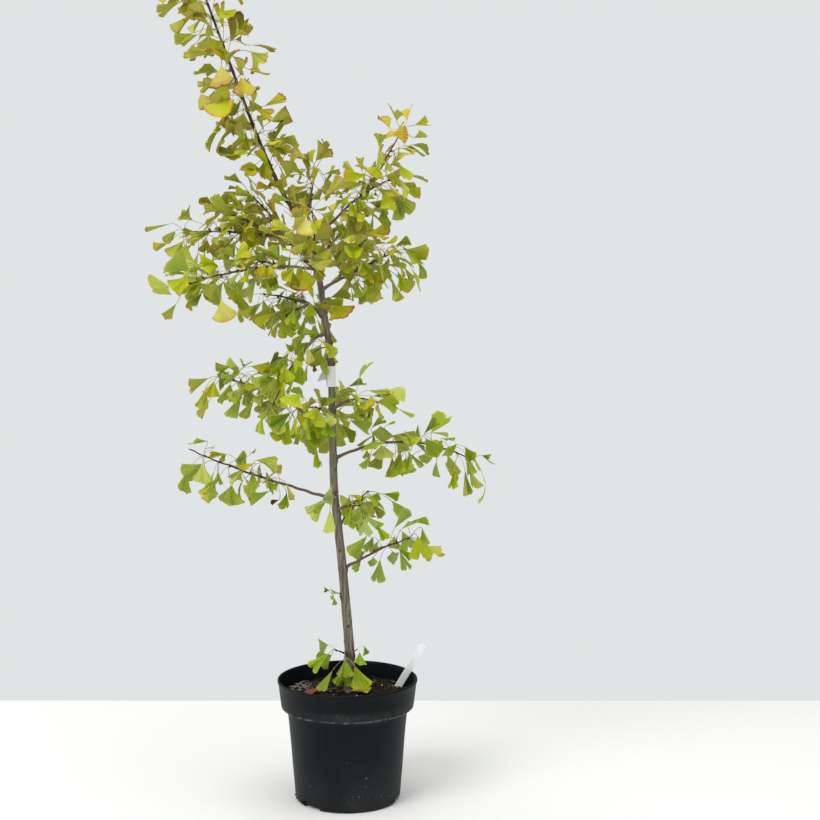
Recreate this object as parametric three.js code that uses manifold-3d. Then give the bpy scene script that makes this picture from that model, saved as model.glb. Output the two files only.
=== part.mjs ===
// A young ginkgo in a round nursery pot: the pot, its compost, the trunk with its leader, the boughs,
// the masses of foliage and two blank labels. Millimetres, +Z up, -Y is the front, and the origin is
// under the middle of the pot.

import * as THREE from 'three';
import * as BufferGeometryUtils from 'three/addons/utils/BufferGeometryUtils.js';
import Module from 'manifold-3d';

const wasm = await Module();
wasm.setup();

// ---------------------------------------------------------------- driving dimensions

const CLEARANCE = 0.3; // between pieces that touch
const SHORTEST_EDGE = 0.05; // in a fused piece

const POT = {
  height: 205,
  rimRadius: 117,
  rimRounding: 1,
  collarRadius: 110, // at the collar's lower edge
  collarHeight: 49,
  collarStep: 2.5,
  shoulderRadius: 100, // of the body, just under the collar
  baseRadius: 88,
  baseRounding: 7,
  wall: 2.2,
  floor: 3,
  facets: 32,
  notches: 3,
  notchHeight: 10,
  notchWidth: 40,
  notchDepth: 14,
  notchHeading: -132, // of the first notch, in degrees from +X
};

const COMPOST = { crown: 182, edge: 177, moundRadius: 30 }; // heights above the pot's underside

const TRUNK = {
  foot: COMPOST.crown + CLEARANCE,
  tip: 962,
  leaderTip: 1425, // the stem goes on above the trunk as the leader's own
  startX: 5,
  flare: 4,
  flareHeight: 11,
  facets: 8,
  steps: 27,
  crowding: 1.35, // of the rings towards the foot, where the flare is
  stretch: 30, // the straight lengths by which leaves keep off it
  bends: [
    // height, turn towards +X and towards +Y (in slope), and how softly the stem turns there
    { height: 245, x: -0.085, y: 0.02, soft: 12 },
    { height: 400, x: -0.03, y: 0.02, soft: 16 },
    { height: 515, x: 0.097, y: -0.05, soft: 10 },
    { height: 740, x: -0.122, y: -0.03, soft: 10 },
    { height: 920, x: -0.44, y: 0.14, soft: 6 },
    { height: 1020, x: 0.14, y: -0.05, soft: 10 },
    { height: 1100, x: 0.075, y: -0.08, soft: 12 },
  ],
  girths: [
    { height: 182, radius: 8.6 },
    { height: 750, radius: 5.3 },
    { height: 915, radius: 4.7 },
    { height: 945, radius: 3.3 },
    { height: 1425, radius: 1.3 },
  ],
};

// Each spray grows on a stem that leaves the trunk at the height "foot" towards "heading" (degrees
// from +X, +90 is the back). "reach" is how far out its tip is, "rise" how much higher than its foot
// and "bow" how far its middle lifts. The first "bough" of its length is a bare bough. A fork is a
// second shoot from a share "at" of the stem, and "leaves" the fewest and most leaves on a spur.
const SPRAYS = [
  {
    name: 'low_left', foot: 506, heading: 187, reach: 240, rise: 87, bow: -5,
    bough: 0.3, spurs: 8, droop: 0.62, last: 0.88,
  },
  {
    name: 'mid_left', foot: 611, heading: 160, reach: 200, rise: 88, bow: 20,
    bough: 0.22, spurs: 11, droop: 0.6,
  },
  {
    name: 'arching_left', foot: 782, heading: 212, reach: 99, rise: -111, bow: 22,
    bough: 0, spurs: 6, droop: 0.6,
  },
  {
    name: 'short_left', foot: 816, heading: 150, reach: 117, rise: 26, bow: 6,
    bough: 0, spurs: 6, droop: 0.62,
    forks: [{ at: 0.2, heading: 205, reach: 44, rise: -14, bow: 4, spurs: 3 }],
  },
  {
    name: 'upper_left_front', foot: 886, heading: 196, reach: 208, rise: -22, bow: 12,
    bough: 0.2, spurs: 11, droop: 0.45,
    forks: [{ at: 0.3, heading: 232, reach: 54, rise: 8, bow: 4, spurs: 4 }],
  },
  {
    name: 'upper_left_back', foot: 930, heading: 168, reach: 213, rise: 16, bow: 6,
    bough: 0.17, spurs: 10, droop: 0.4,
    forks: [
      { at: 0.2, heading: 143, reach: 80, rise: 72, bow: 6, spurs: 8 },
      { at: 0.32, heading: 186, reach: 68, rise: 34, bow: 6, spurs: 6 },
    ],
  },
  {
    name: 'rising_right', foot: 925, heading: 12, reach: 126, rise: 105, bow: 13,
    bough: 0.3, spurs: 8, droop: 0.4,
    forks: [
      { at: 0.66, heading: -12, reach: 63, rise: 98, bow: -4, spurs: 5 },
      { at: 0.4, heading: -52, reach: 66, rise: -8, bow: 4, spurs: 4 },
    ],
  },
  {
    name: 'upper_right', foot: 851, heading: -20, reach: 128, rise: 63, bow: 2,
    bough: 0.22, spurs: 8, droop: 0.5,
    forks: [{ at: 0.24, heading: -52, reach: 74, rise: 66, bow: 4, spurs: 6 }],
  },
  {
    name: 'crown_back', foot: 944, heading: 84, reach: 96, rise: 104, bow: 6,
    bough: 0.25, spurs: 7, droop: 0.4,
  },
  {
    name: 'upper_back', foot: 896, heading: 72, reach: 168, rise: 56, bow: 8,
    bough: 0.22, spurs: 9, droop: 0.4,
  },
  {
    name: 'upper_front', foot: 872, heading: 256, reach: 96, rise: 30, bow: 6,
    bough: 0, spurs: 6, droop: 0.55,
    forks: [
      { at: 0.16, heading: 268, reach: 66, rise: 96, bow: 4, spurs: 6 },
      { at: 0.3, heading: 222, reach: 46, rise: 40, bow: 4, spurs: 3 },
    ],
  },
  {
    name: 'back_left', foot: 797, heading: 112, reach: 132, rise: 34, bow: 8,
    bough: 0.25, spurs: 6, droop: 0.5,
  },
  {
    name: 'trunk_spur', foot: 826, heading: 285, reach: 15, rise: 7, bow: 0,
    bough: 0, spurs: 1, droop: 0.6, leaves: [4, 5],
  },
  {
    name: 'mid_front', foot: 642, heading: 246, reach: 82, rise: 24, bow: 6,
    bough: 0, spurs: 5, droop: 0.6,
  },
  {
    name: 'mid_right', foot: 655, heading: -36, reach: 92, rise: 18, bow: 10,
    bough: 0, spurs: 5, droop: 0.5,
  },
  {
    name: 'mid_back', foot: 590, heading: 96, reach: 165, rise: 44, bow: 10,
    bough: 0.25, spurs: 7, droop: 0.55,
  },
  {
    name: 'long_right', foot: 572, heading: 7, reach: 230, rise: -4, bow: 30,
    bough: 0.22, spurs: 11, droop: 0.6,
  },
  {
    name: 'low_front', foot: 513, heading: 274, reach: 48, rise: 6, bow: 4,
    bough: 0, spurs: 3, droop: 0.55,
  },
  {
    name: 'low_right_front', foot: 488, heading: -46, reach: 58, rise: 14, bow: 2,
    bough: 0, spurs: 3, droop: 0.6,
  },
  {
    name: 'low_back', foot: 456, heading: 67, reach: 118, rise: 46, bow: 5,
    bough: 0.3, spurs: 5, droop: 0.55,
  },
  {
    name: 'low_right', foot: 388, heading: 16, reach: 112, rise: 46, bow: 4,
    bough: 0.35, spurs: 5, droop: 0.62,
  },
  {
    name: 'sprout', foot: 345, heading: 200, reach: 21, rise: 5, bow: 1,
    bough: 0, spurs: 1, droop: 0.05, scale: 0.33,
  },
  {
    name: 'foot_front', foot: 250, heading: 246, reach: 13, rise: -3, bow: 3,
    bough: 0, spurs: 2, droop: 0.63, scale: 0.9, leaves: [4, 5],
  },
  {
    name: 'foot_left', foot: 240, heading: 204, reach: 24, rise: 13, bow: 1,
    bough: 0, spurs: 1, droop: 0.49, scale: 0.82, leaves: [2, 2],
  },
  {
    name: 'foot_right', foot: 244, heading: -46, reach: 16, rise: 11, bow: 1,
    bough: 0, spurs: 1, droop: 0.7, scale: 0.45, leaves: [3, 3],
  },
];

// The leader above the trunk, with leaves all the way up.
const LEADER = {
  name: 'leader',
  scale: 1.14,
  spurs: 22,
  droop: 0.42,
  leaves: [4, 5],
  facets: 6,
  steps: 12,
  pull: new THREE.Vector3(-0.45, -0.1, 0), // of its spurs, towards the side that it leans to
};

const STEM = {
  boughRadius: 2.9,
  tipRadius: 1.6,
  boughFacets: 6,
  boughSteps: 3,
  twigFacets: 3,
  steps: 6,
};
const GOLDEN_ANGLE = 137.5;

const LEAF = {
  onSpur: [2, 4],
  spacing: 2.2, // between the roots of one spur's leaves
  blade: [27, 43],
  opening: [17, 46], // half of the angle that the fan opens, in degrees
  droop: [0.5, 1.25], // of its spray's own droop
  waver: 0.5, // how far a blade strays from where its petiole and its droop point it
  roll: 65, // to either side, in degrees
  thickness: 1.1,
  tries: 24, // at a place that it fits
};

// The stalk from a spur to a fan. Its knee and end are shares of its length along it and up.
const PETIOLE = {
  length: [22, 46],
  radius: 0.6,
  spread: [28, 82], // how far it stands off the spur's own line, in degrees
  back: 0.7, // the most that it may run back along the stem
  turn: 60, // how far it strays from the golden angle, in degrees
  kneeAt: 0.55,
  kneeLift: 0.05,
  endAt: 0.95,
  endSag: 0.3,
};

// Spurs stand at even steps from the bough's end, or from a share of a fork, to the stem's tip. Each
// leans along its stem, and the one at the tip leans more.
const SPUR = { offBough: 8, onFork: 0.15, last: 0.995, step: 0.55, lean: 0.5, endLean: 3 };

// How far foliage keeps off other things, and how far past a stem's tip its space goes on.
const ROOM = { betweenSprays: 2.6, betweenLeaves: 8, offLimbs: 3.4, overCompost: 185, forward: 45 };

const POT_LABEL = {
  foot: [84, 36],
  depth: 21,
  lean: 31,
  length: 106,
  width: 12,
  thickness: 1,
};

const STEM_LABEL = { bottom: 693, height: 34, thickness: 0.8, slack: 0.8, tab: 17, tabHeading: 196 };

const COLOURS = {
  pot: 0x26272a,
  compost: 0x3b2a20,
  bark: 0x8a7a68,
  bough: 0x5b463c,
  label: 0xf2f3f1,
  // Leaves turn from green to a yellower green with height, each colour down to its "above".
  leaves: [
    { above: 840, color: 0xa8a02a },
    { above: 560, color: 0x97a32b },
    { above: 0, color: 0x86a52c },
  ],
};

// ---------------------------------------------------------------- numbers and directions

const UP = new THREE.Vector3(0, 0, 1);
const radians = THREE.MathUtils.degToRad;
const lerp = THREE.MathUtils.lerp;

// A number from 0 to 1 that depends only on its keys, so each leaf keeps its place. The factors are
// the usual ones for this and have no meaning of their own.
function chance(a, b, c, d) {
  const wave = Math.sin(a * 12.9898 + b * 78.233 + c * 37.719 + d * 9.131) * 43758.5453;
  return wave - Math.floor(wave);
}

function between(range, share) {
  return lerp(range[0], range[1], share);
}

function towards(heading) {
  return new THREE.Vector3(Math.cos(radians(heading)), Math.sin(radians(heading)), 0);
}

// Two directions square to the given one, the first as near to up as it can be.
function squareTo(direction) {
  const level = Math.abs(direction.z) > 0.95 ? new THREE.Vector3(1, 0, 0) : UP;
  const upper = level.clone().addScaledVector(direction, -level.dot(direction)).normalize();
  return [upper, new THREE.Vector3().crossVectors(direction, upper)];
}

// ---------------------------------------------------------------- solids

function toSolid(geometry) {
  const bare = geometry.clone();
  bare.deleteAttribute('normal');
  bare.deleteAttribute('uv');
  const merged = BufferGeometryUtils.mergeVertices(bare, 1e-4);
  const vertProperties = new Float32Array(merged.attributes.position.array);
  const triVerts = new Uint32Array(merged.index.array);
  return new wasm.Manifold(new wasm.Mesh({ numProp: 3, vertProperties, triVerts }));
}

function toGeometry(solid) {
  const mesh = solid.getMesh();
  const geometry = new THREE.BufferGeometry();
  geometry.setAttribute('position', new THREE.BufferAttribute(new Float32Array(mesh.vertProperties), 3));
  geometry.setIndex(new THREE.BufferAttribute(new Uint32Array(mesh.triVerts), 1));
  geometry.computeVertexNormals();
  return geometry;
}

// The solids joined into one, without any scrap that doesn't hang together with the largest piece,
// and without edges too short to keep.
function fuse(solids) {
  const whole = solids.reduce((sum, solid) => sum.add(solid));
  const pieces = whole.decompose();
  const largest = pieces.reduce((best, piece) => (piece.volume() > best.volume() ? piece : best));
  return largest.asOriginal().simplify(SHORTEST_EDGE);
}

// A closed skin over rings of points, all with the same number of points, with a fan over each end.
function loft(rings) {
  const count = rings[0].length;
  const points = rings.flat();
  const faces = [];
  for (let ring = 0; ring + 1 < rings.length; ring += 1) {
    for (let side = 0; side < count; side += 1) {
      const a = ring * count + side;
      const b = ring * count + ((side + 1) % count);
      faces.push(a, b, b + count, a, b + count, a + count);
    }
  }
  const last = (rings.length - 1) * count;
  for (let side = 1; side + 1 < count; side += 1) {
    faces.push(0, side + 1, side, last, last + side, last + side + 1);
  }
  const geometry = new THREE.BufferGeometry().setFromPoints(points);
  geometry.setIndex(volumeOf(points, faces) < 0 ? faces.toReversed() : faces);
  geometry.computeVertexNormals();
  return geometry;
}

function volumeOf(points, faces) {
  const cross = new THREE.Vector3();
  let volume = 0;
  for (let at = 0; at < faces.length; at += 3) {
    cross.crossVectors(points[faces[at + 1]], points[faces[at + 2]]);
    volume += points[faces[at]].dot(cross) / 6;
  }
  return volume;
}

// A tapering round limb along a curve, from one share of its length to another. Its rings stand
// square to the curve, or level for a stem that has flat ends.
function limb({ curve, from, to, radiusAt, facets, steps, level = false, crowding = 1 }) {
  const rings = [];
  for (let step = 0; step <= steps; step += 1) {
    const share = lerp(from, to, (step / steps) ** crowding);
    const centre = curve.getPoint(share);
    const [upper, side] = level ? [towards(0), towards(90)] : squareTo(curve.getTangent(share));
    const ring = [];
    for (let facet = 0; facet < facets; facet += 1) {
      const angle = (2 * Math.PI * facet) / facets;
      const radius = radiusAt(share);
      const point = centre.clone().addScaledVector(upper, radius * Math.cos(angle));
      ring.push(point.addScaledVector(side, radius * Math.sin(angle)));
    }
    rings.push(ring);
  }
  return loft(rings);
}

// ---------------------------------------------------------------- pot and compost

function potGeometry() {
  const { height, baseRounding: round, baseRadius, rimRounding } = POT;
  const { lower, upper } = collarFoot();
  const outside = [
    [baseRadius - round, 0],
    [baseRadius - round * 0.3, round * 0.3],
    [baseRadius, round],
    [POT.shoulderRadius, lower],
    [POT.collarRadius - rimRounding, upper - rimRounding],
    [POT.collarRadius, upper],
    [POT.rimRadius, height - rimRounding * 2],
    [POT.rimRadius - rimRounding, height],
  ];
  const profile = [[0, 0], ...outside, [insideRadius(height), height], ...insideProfile(height)];
  const points = profile.map(([x, y]) => new THREE.Vector2(x, y));
  const shell = turned(points);
  let solid = toSolid(shell);
  for (let notch = 0; notch < POT.notches; notch += 1) {
    solid = solid.subtract(toSolid(notchGeometry(notch)));
  }
  return toGeometry(solid);
}

// The heights between which the pot steps out from its body to its collar.
function collarFoot() {
  const foot = POT.height - POT.collarHeight;
  return { lower: foot - POT.collarStep, upper: foot + POT.collarStep };
}

// The pot's inner wall from a height down to the middle of its floor.
function insideProfile(top) {
  const { lower, upper } = collarFoot();
  const corners = [
    [POT.collarRadius - POT.wall, upper],
    [POT.shoulderRadius - POT.wall, lower],
    [insideRadius(POT.floor), POT.floor],
  ];
  return [...corners.filter(([, y]) => y < top), [0, POT.floor]];
}

function insideRadius(height) {
  const { lower, upper } = collarFoot();
  const inCollar = height > lower;
  const [low, high] = inCollar ? [upper, POT.height] : [POT.floor, lower];
  const [narrow, wide] = inCollar
    ? [POT.collarRadius, POT.rimRadius - POT.rimRounding]
    : [POT.baseRadius - POT.rimRounding, POT.shoulderRadius];
  return lerp(narrow, wide, (height - low) / (high - low)) - POT.wall;
}

function turned(points) {
  const geometry = new THREE.LatheGeometry(points, POT.facets);
  geometry.rotateX(Math.PI / 2);
  return geometry;
}

// A drainage notch: an arch cut inwards through the pot's lower corner.
function notchGeometry(index) {
  const half = POT.notchWidth / 2;
  const arch = new THREE.Shape();
  arch.moveTo(-half, -1);
  arch.lineTo(half, -1);
  arch.lineTo(half, POT.notchHeight * 0.4);
  arch.quadraticCurveTo(half, POT.notchHeight, half * 0.6, POT.notchHeight);
  arch.lineTo(-half * 0.6, POT.notchHeight);
  arch.quadraticCurveTo(-half, POT.notchHeight, -half, POT.notchHeight * 0.4);
  const geometry = new THREE.ExtrudeGeometry(arch, {
    depth: POT.notchDepth,
    bevelEnabled: false,
    curveSegments: 3,
  });
  geometry.rotateX(Math.PI / 2);
  geometry.translate(0, POT.baseRadius + 2, 0);
  geometry.rotateZ(radians(POT.notchHeading - 90 + (index * 360) / POT.notches));
  return geometry;
}

function compostGeometry() {
  const { crown, edge, moundRadius } = COMPOST;
  const wallRadius = insideRadius(edge);
  const up = insideProfile(edge).toReversed().slice(1);
  const profile = [
    [0, POT.floor + CLEARANCE],
    ...up.map(([x, y]) => [x - CLEARANCE, y + CLEARANCE]),
    [wallRadius - CLEARANCE, edge],
    [(moundRadius + wallRadius) / 2, (crown + edge) / 2],
    [moundRadius, crown],
    [0, crown],
  ];
  const body = turned(profile.map(([x, y]) => new THREE.Vector2(x, y)));
  return toGeometry(toSolid(body).subtract(toSolid(potLabelGeometry(CLEARANCE))));
}

// ---------------------------------------------------------------- trunk and boughs

// The stem's line: a straight rise that turns a little at each bend, each turn eased by ln(1 + e^u).
function trunkAt(height) {
  const point = new THREE.Vector3(TRUNK.startX, 0, height);
  for (const bend of TRUNK.bends) {
    const run = bend.soft * Math.log1p(Math.exp((height - bend.height) / bend.soft));
    point.x += bend.x * run;
    point.y += bend.y * run;
  }
  return point;
}

function trunkRadius(height) {
  const above = TRUNK.girths.findIndex((girth) => girth.height >= height);
  const [low, high] = above < 1 ? TRUNK.girths.slice(0, 2) : TRUNK.girths.slice(above - 1, above + 1);
  const share = (height - low.height) / (high.height - low.height);
  const flare = TRUNK.flare * Math.exp((COMPOST.crown - height) / TRUNK.flareHeight);
  return lerp(low.radius, high.radius, share) + flare;
}

class TrunkCurve extends THREE.Curve {
  constructor(from, to) {
    super();
    this.heightAt = (share) => lerp(from, to, share);
  }

  getPoint(share) {
    return trunkAt(this.heightAt(share));
  }
}

// The line of a bough and of the stem that goes on from it: out, up by its rise, and over its bow.
class BoughCurve extends THREE.Curve {
  constructor(start, plan) {
    super();
    this.start = start;
    this.plan = plan;
    this.out = towards(plan.heading);
  }

  getPoint(share) {
    const { reach, rise, bow } = this.plan;
    const lift = rise * share + 4 * bow * share * (1 - share);
    return this.start.clone().addScaledVector(this.out, reach * share).addScaledVector(UP, lift);
  }
}

// The trunk, grown all round by "extra".
function trunkGeometry(extra) {
  const { facets, steps, crowding } = TRUNK;
  const curve = new TrunkCurve(TRUNK.foot, TRUNK.tip);
  const radiusAt = (share) => trunkRadius(curve.heightAt(share)) + extra;
  return limb({ curve, from: 0, to: 1, radiusAt, facets, steps, level: true, crowding });
}

// The space that what grows from the trunk is cut back to, a little over the gap for its facets.
const trunkRoom = toSolid(trunkGeometry(CLEARANCE + 0.1));

function stemRadius(share) {
  return lerp(STEM.boughRadius, STEM.tipRadius, share);
}

// ---------------------------------------------------------------- the sprays' stems and spurs

// A mass of foliage as a plan: its stems, its spurs, and the lines that its own space surrounds.
function sprayPlan(spray, index) {
  const curve = new BoughCurve(trunkAt(spray.foot), spray);
  const plan = { scale: 1, leaves: LEAF.onSpur, forks: [], ...spray, index, trimmed: spray.bough === 0 };
  plan.stems = [{ curve, from: spray.bough, to: 1, radiusAt: stemRadius }];
  const from = spray.bough + SPUR.offBough / curve.getLength();
  plan.spurs = spursAlong(curve, from, spray.spurs, index, spray.last);
  plan.lines = [lineAlong(curve, 0, 1)];
  plan.forks.forEach((fork, order) => {
    const shoot = new BoughCurve(curve.getPoint(fork.at), fork);
    const radiusAt = (share) => stemRadius(lerp(fork.at, 1, share));
    plan.stems.push({ curve: shoot, from: 0, to: 1, radiusAt });
    plan.spurs.push(...spursAlong(shoot, SPUR.onFork, fork.spurs, index + (order + 1) / 4));
    plan.lines.push(lineAlong(shoot, 0, 1));
  });
  return plan;
}

function leaderPlan(index) {
  const curve = new TrunkCurve(TRUNK.tip + CLEARANCE, TRUNK.leaderTip);
  const radiusAt = (share) => trunkRadius(curve.heightAt(share));
  return {
    ...LEADER,
    index,
    bough: 0,
    trimmed: false,
    stems: [{ curve, from: 0, to: 1, radiusAt, level: true }],
    spurs: spursAlong(curve, 0, LEADER.spurs, index, SPUR.last, LEADER.pull),
    lines: [lineAlong(curve, 0, 1)],
  };
}

// Spurs stand a golden angle apart round the stem, and the last one ends it.
function spursAlong(curve, from, count, key, last = SPUR.last, pull = new THREE.Vector3()) {
  const spurs = [];
  for (let place = 0; place < count; place += 1) {
    const isLast = place === count - 1;
    const share = isLast ? last : lerp(from, last, (place + SPUR.step) / count);
    const tangent = curve.getTangent(share);
    const [upper, side] = squareTo(tangent);
    const angle = radians(place * GOLDEN_ANGLE + 360 * chance(key, place, 1, 1));
    const line = upper.multiplyScalar(Math.cos(angle)).addScaledVector(side, Math.sin(angle));
    line.addScaledVector(tangent, isLast ? SPUR.endLean : SPUR.lean).add(pull).normalize();
    spurs.push({ at: curve.getPoint(share), line, back: tangent.negate(), key: place + key / 7 });
  }
  return spurs;
}

// A curve as a chain of points, going on straight past its tip into the space that its leaves fill.
function lineAlong(curve, from, to) {
  const points = [];
  for (let step = 0; step <= STEM.steps; step += 1) {
    points.push(curve.getPoint(lerp(from, to, step / STEM.steps)));
  }
  const beyond = points[STEM.steps].clone().addScaledVector(curve.getTangent(to), ROOM.forward);
  return [...points, beyond];
}

// ---------------------------------------------------------------- leaves

// A leaf's petiole goes out from its spur, knees over, and its fan hangs from the petiole's end. The
// numbers that are drawn for it depend on its spur, on the leaf and on the attempt.
function leafPlan(plan, spur, leaf, attempt) {
  const draw = (what) => chance(plan.index + 1, spur.key + leaf * 17.3, attempt + 1, what);
  const [upper, side] = squareTo(spur.line);
  const first = 360 * chance(plan.index, spur.key, 2, 2);
  const turn = radians(first + leaf * GOLDEN_ANGLE + PETIOLE.turn * draw(1));
  const spread = radians(between(PETIOLE.spread, draw(2)));
  const petiole = spur.line.clone().multiplyScalar(Math.cos(spread));
  petiole.addScaledVector(upper, Math.sin(spread) * Math.cos(turn));
  petiole.addScaledVector(side, Math.sin(spread) * Math.sin(turn));
  const reach = between(PETIOLE.length, draw(3)) * plan.scale;
  const droop = plan.droop * between(LEAF.droop, draw(4));
  const start = spur.at.clone().addScaledVector(spur.back, leaf * LEAF.spacing);
  const along = (share, lift) =>
    start.clone().addScaledVector(petiole, reach * share).addScaledVector(UP, reach * lift);
  const knee = along(PETIOLE.kneeAt, PETIOLE.kneeLift);
  const apex = along(PETIOLE.endAt, -droop * PETIOLE.endSag);
  const stray = new THREE.Vector3(draw(5), draw(6), draw(7)).subScalar(0.5);
  const blade = petiole.clone().multiplyScalar(1 - droop).addScaledVector(UP, -droop);
  blade.addScaledVector(stray, LEAF.waver).normalize();
  const flat = new THREE.Vector3().crossVectors(petiole, blade).normalize();
  const rolled = flat.clone().applyAxisAngle(blade, radians(LEAF.roll * (2 * draw(8) - 1)));
  const length = between(LEAF.blade, draw(9)) * plan.scale;
  const opening = radians(between(LEAF.opening, draw(10)));
  const back = petiole.dot(spur.back);
  const planned = { start, back, knee, apex, blade, flat, rolled, length, opening };
  return { ...planned, probes: leafProbes(planned) };
}

// Points spread over a leaf, by which it is held in its own space.
function leafProbes({ knee, apex, blade, rolled, length, opening }) {
  const probes = [knee, apex];
  for (const out of [1, 2 / 3, 1 / 3]) {
    for (const turn of [-1, -2 / 3, -1 / 3, 0, 1 / 3, 2 / 3, 1]) {
      const along = length * out * Math.cos(opening * turn);
      const across = length * out * Math.sin(opening * turn);
      probes.push(apex.clone().addScaledVector(blade, along).addScaledVector(rolled, across));
    }
  }
  return probes;
}

// A leaf as a three-sided skin over its petiole's root, its end and the fan's outer edge.
function leafGeometry({ start, apex, blade, flat, rolled, length, opening }) {
  const { radius } = PETIOLE;
  const { thickness } = LEAF;
  const ring = (centre, direction, width, half, height) => {
    const over = new THREE.Vector3().crossVectors(width, direction).normalize();
    const base = centre.clone().addScaledVector(over, -height / 3);
    return [
      base.clone().addScaledVector(width, -half),
      base.clone().addScaledVector(width, half),
      base.clone().addScaledVector(over, height),
    ];
  };
  const petiole = apex.clone().sub(start).normalize();
  const halfRolled = flat.clone().add(rolled).normalize();
  const chord = apex.clone().addScaledVector(blade, length * Math.cos(opening));
  const edge = ring(chord, blade, rolled, length * Math.sin(opening), thickness);
  edge[2].addScaledVector(blade, length * (1 - Math.cos(opening)));
  return loft([
    ring(start, petiole, flat, radius, radius * 1.7),
    ring(apex, blade, halfRolled, radius * 1.5, thickness),
    edge,
  ]);
}

function distanceToLine(point, line) {
  const segment = new THREE.Line3();
  const nearest = new THREE.Vector3();
  let least = Infinity;
  for (let at = 0; at + 1 < line.length; at += 1) {
    segment.set(line[at], line[at + 1]).closestPointToPoint(point, true, nearest);
    least = Math.min(least, nearest.distanceTo(point));
  }
  return least;
}

function distanceToPlan(point, plan) {
  return Math.min(...plan.lines.map((line) => distanceToLine(point, line)));
}

const plans = [...SPRAYS.map(sprayPlan), leaderPlan(SPRAYS.length)];

// The trunk and its leader as short straight stretches with their radii.
const trunkStretches = [];
for (let height = TRUNK.foot; height < TRUNK.leaderTip; height += TRUNK.stretch) {
  const top = Math.min(height + TRUNK.stretch, TRUNK.leaderTip);
  trunkStretches.push({ line: [trunkAt(height), trunkAt(top)], radius: trunkRadius(height) });
}

// A leaf fits if it doesn't run back along its stem and is nearer its own mass's lines than any
// other's, off every limb, off the compost and off the leaves that its mass already has.
function fits(leaf, plan, grown) {
  return leaf.back < PETIOLE.back && leaf.probes.every((probe) => {
    const own = distanceToPlan(probe, plan);
    const offStem = probe === leaf.knee || own > STEM.boughRadius + ROOM.offLimbs;
    if (!offStem || probe.z < ROOM.overCompost) {
      return false;
    }
    const onLeaf = (point) => point.distanceTo(probe) < ROOM.betweenLeaves;
    if (grown.some((other) => other.probes.some(onLeaf))) {
      return false;
    }
    const onTrunk = ({ line, radius }) => distanceToLine(probe, line) < radius + ROOM.offLimbs;
    if (trunkStretches.some(onTrunk)) {
      return false;
    }
    const inOther = (other) => other !== plan && distanceToPlan(probe, other) < own + ROOM.betweenSprays;
    return !plans.some(inOther);
  });
}

function leavesOf(plan) {
  const leaves = [];
  for (const spur of plan.spurs) {
    const count = Math.round(between(plan.leaves, chance(plan.index, spur.key, 5, 5)));
    for (let leaf = 0; leaf < count; leaf += 1) {
      for (let attempt = 0; attempt < LEAF.tries; attempt += 1) {
        const candidate = leafPlan(plan, spur, leaf, attempt);
        if (fits(candidate, plan, leaves)) {
          leaves.push(candidate);
          break;
        }
      }
    }
  }
  return leaves;
}

function sprayGeometry(plan) {
  const { facets = STEM.twigFacets, steps = STEM.steps } = plan;
  const stems = plan.stems.map((stem) => {
    const gap = stem.from > 0 ? CLEARANCE / stem.curve.getLength() : 0;
    return toSolid(limb({ ...stem, from: stem.from + gap, facets, steps }));
  });
  const leaves = leavesOf(plan).map((leaf) => toSolid(leafGeometry(leaf)));
  const whole = fuse([...stems, ...leaves]);
  return toGeometry(plan.trimmed ? fuse([whole.subtract(trunkRoom)]) : whole);
}

function boughGeometry(plan) {
  const [{ curve, from: to, radiusAt }] = plan.stems;
  const { boughFacets: facets, boughSteps: steps } = STEM;
  const solid = toSolid(limb({ curve, from: 0, to, radiusAt, facets, steps }));
  return toGeometry(fuse([solid.subtract(trunkRoom)]));
}

// ---------------------------------------------------------------- labels

// A blank tongue pushed slantwise into the compost, grown on every side by a margin.
function potLabelGeometry(margin) {
  const { width, length, thickness, depth, lean, foot } = POT_LABEL;
  const half = width / 2 + margin;
  const outline = new THREE.Shape();
  outline.moveTo(-half, length - 3);
  outline.lineTo(-half, half);
  outline.lineTo(0, -margin);
  outline.lineTo(half, half);
  outline.lineTo(half, length - 3);
  outline.quadraticCurveTo(half, length + margin, half - 3, length + margin);
  outline.lineTo(3 - half, length + margin);
  outline.quadraticCurveTo(-half, length + margin, -half, length - 3);
  const geometry = new THREE.ExtrudeGeometry(outline, {
    depth: thickness + 2 * margin,
    bevelEnabled: false,
    curveSegments: 2,
  });
  geometry.translate(0, -depth, -thickness / 2 - margin);
  geometry.rotateX(Math.PI / 2);
  geometry.rotateY(radians(lean));
  geometry.translate(foot[0], foot[1], (COMPOST.crown + COMPOST.edge) / 2);
  return geometry;
}

// A blank strip looped once round the stem, with its end standing off as a tab.
function stemLabelGeometry() {
  const { bottom, height, thickness, slack, tab } = STEM_LABEL;
  const inner = trunkRadius(bottom) + slack;
  const outer = inner + thickness;
  const band = new THREE.Shape();
  const gap = Math.asin(thickness / outer);
  band.absarc(0, 0, outer, gap, 2 * Math.PI - gap, false);
  band.lineTo(outer + tab, -thickness);
  band.lineTo(outer + tab, thickness);
  const hole = new THREE.Path();
  hole.absarc(0, 0, inner, 0, 2 * Math.PI, true);
  band.holes.push(hole);
  const geometry = new THREE.ExtrudeGeometry(band, {
    depth: height,
    bevelEnabled: false,
    curveSegments: 8,
  });
  geometry.rotateZ(radians(STEM_LABEL.tabHeading));
  const middle = trunkAt(bottom + height / 2);
  geometry.translate(middle.x, middle.y, bottom);
  return geometry;
}

// ---------------------------------------------------------------- the whole plant

function matt(color, roughness) {
  return new THREE.MeshStandardMaterial({ color, roughness, metalness: 0 });
}

const materials = {
  pot: matt(COLOURS.pot, 0.55),
  compost: matt(COLOURS.compost, 1),
  bark: matt(COLOURS.bark, 0.85),
  bough: matt(COLOURS.bough, 0.8),
  label: matt(COLOURS.label, 0.45),
  leaves: COLOURS.leaves.map(({ color }) => matt(color, 0.6)),
};

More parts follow.
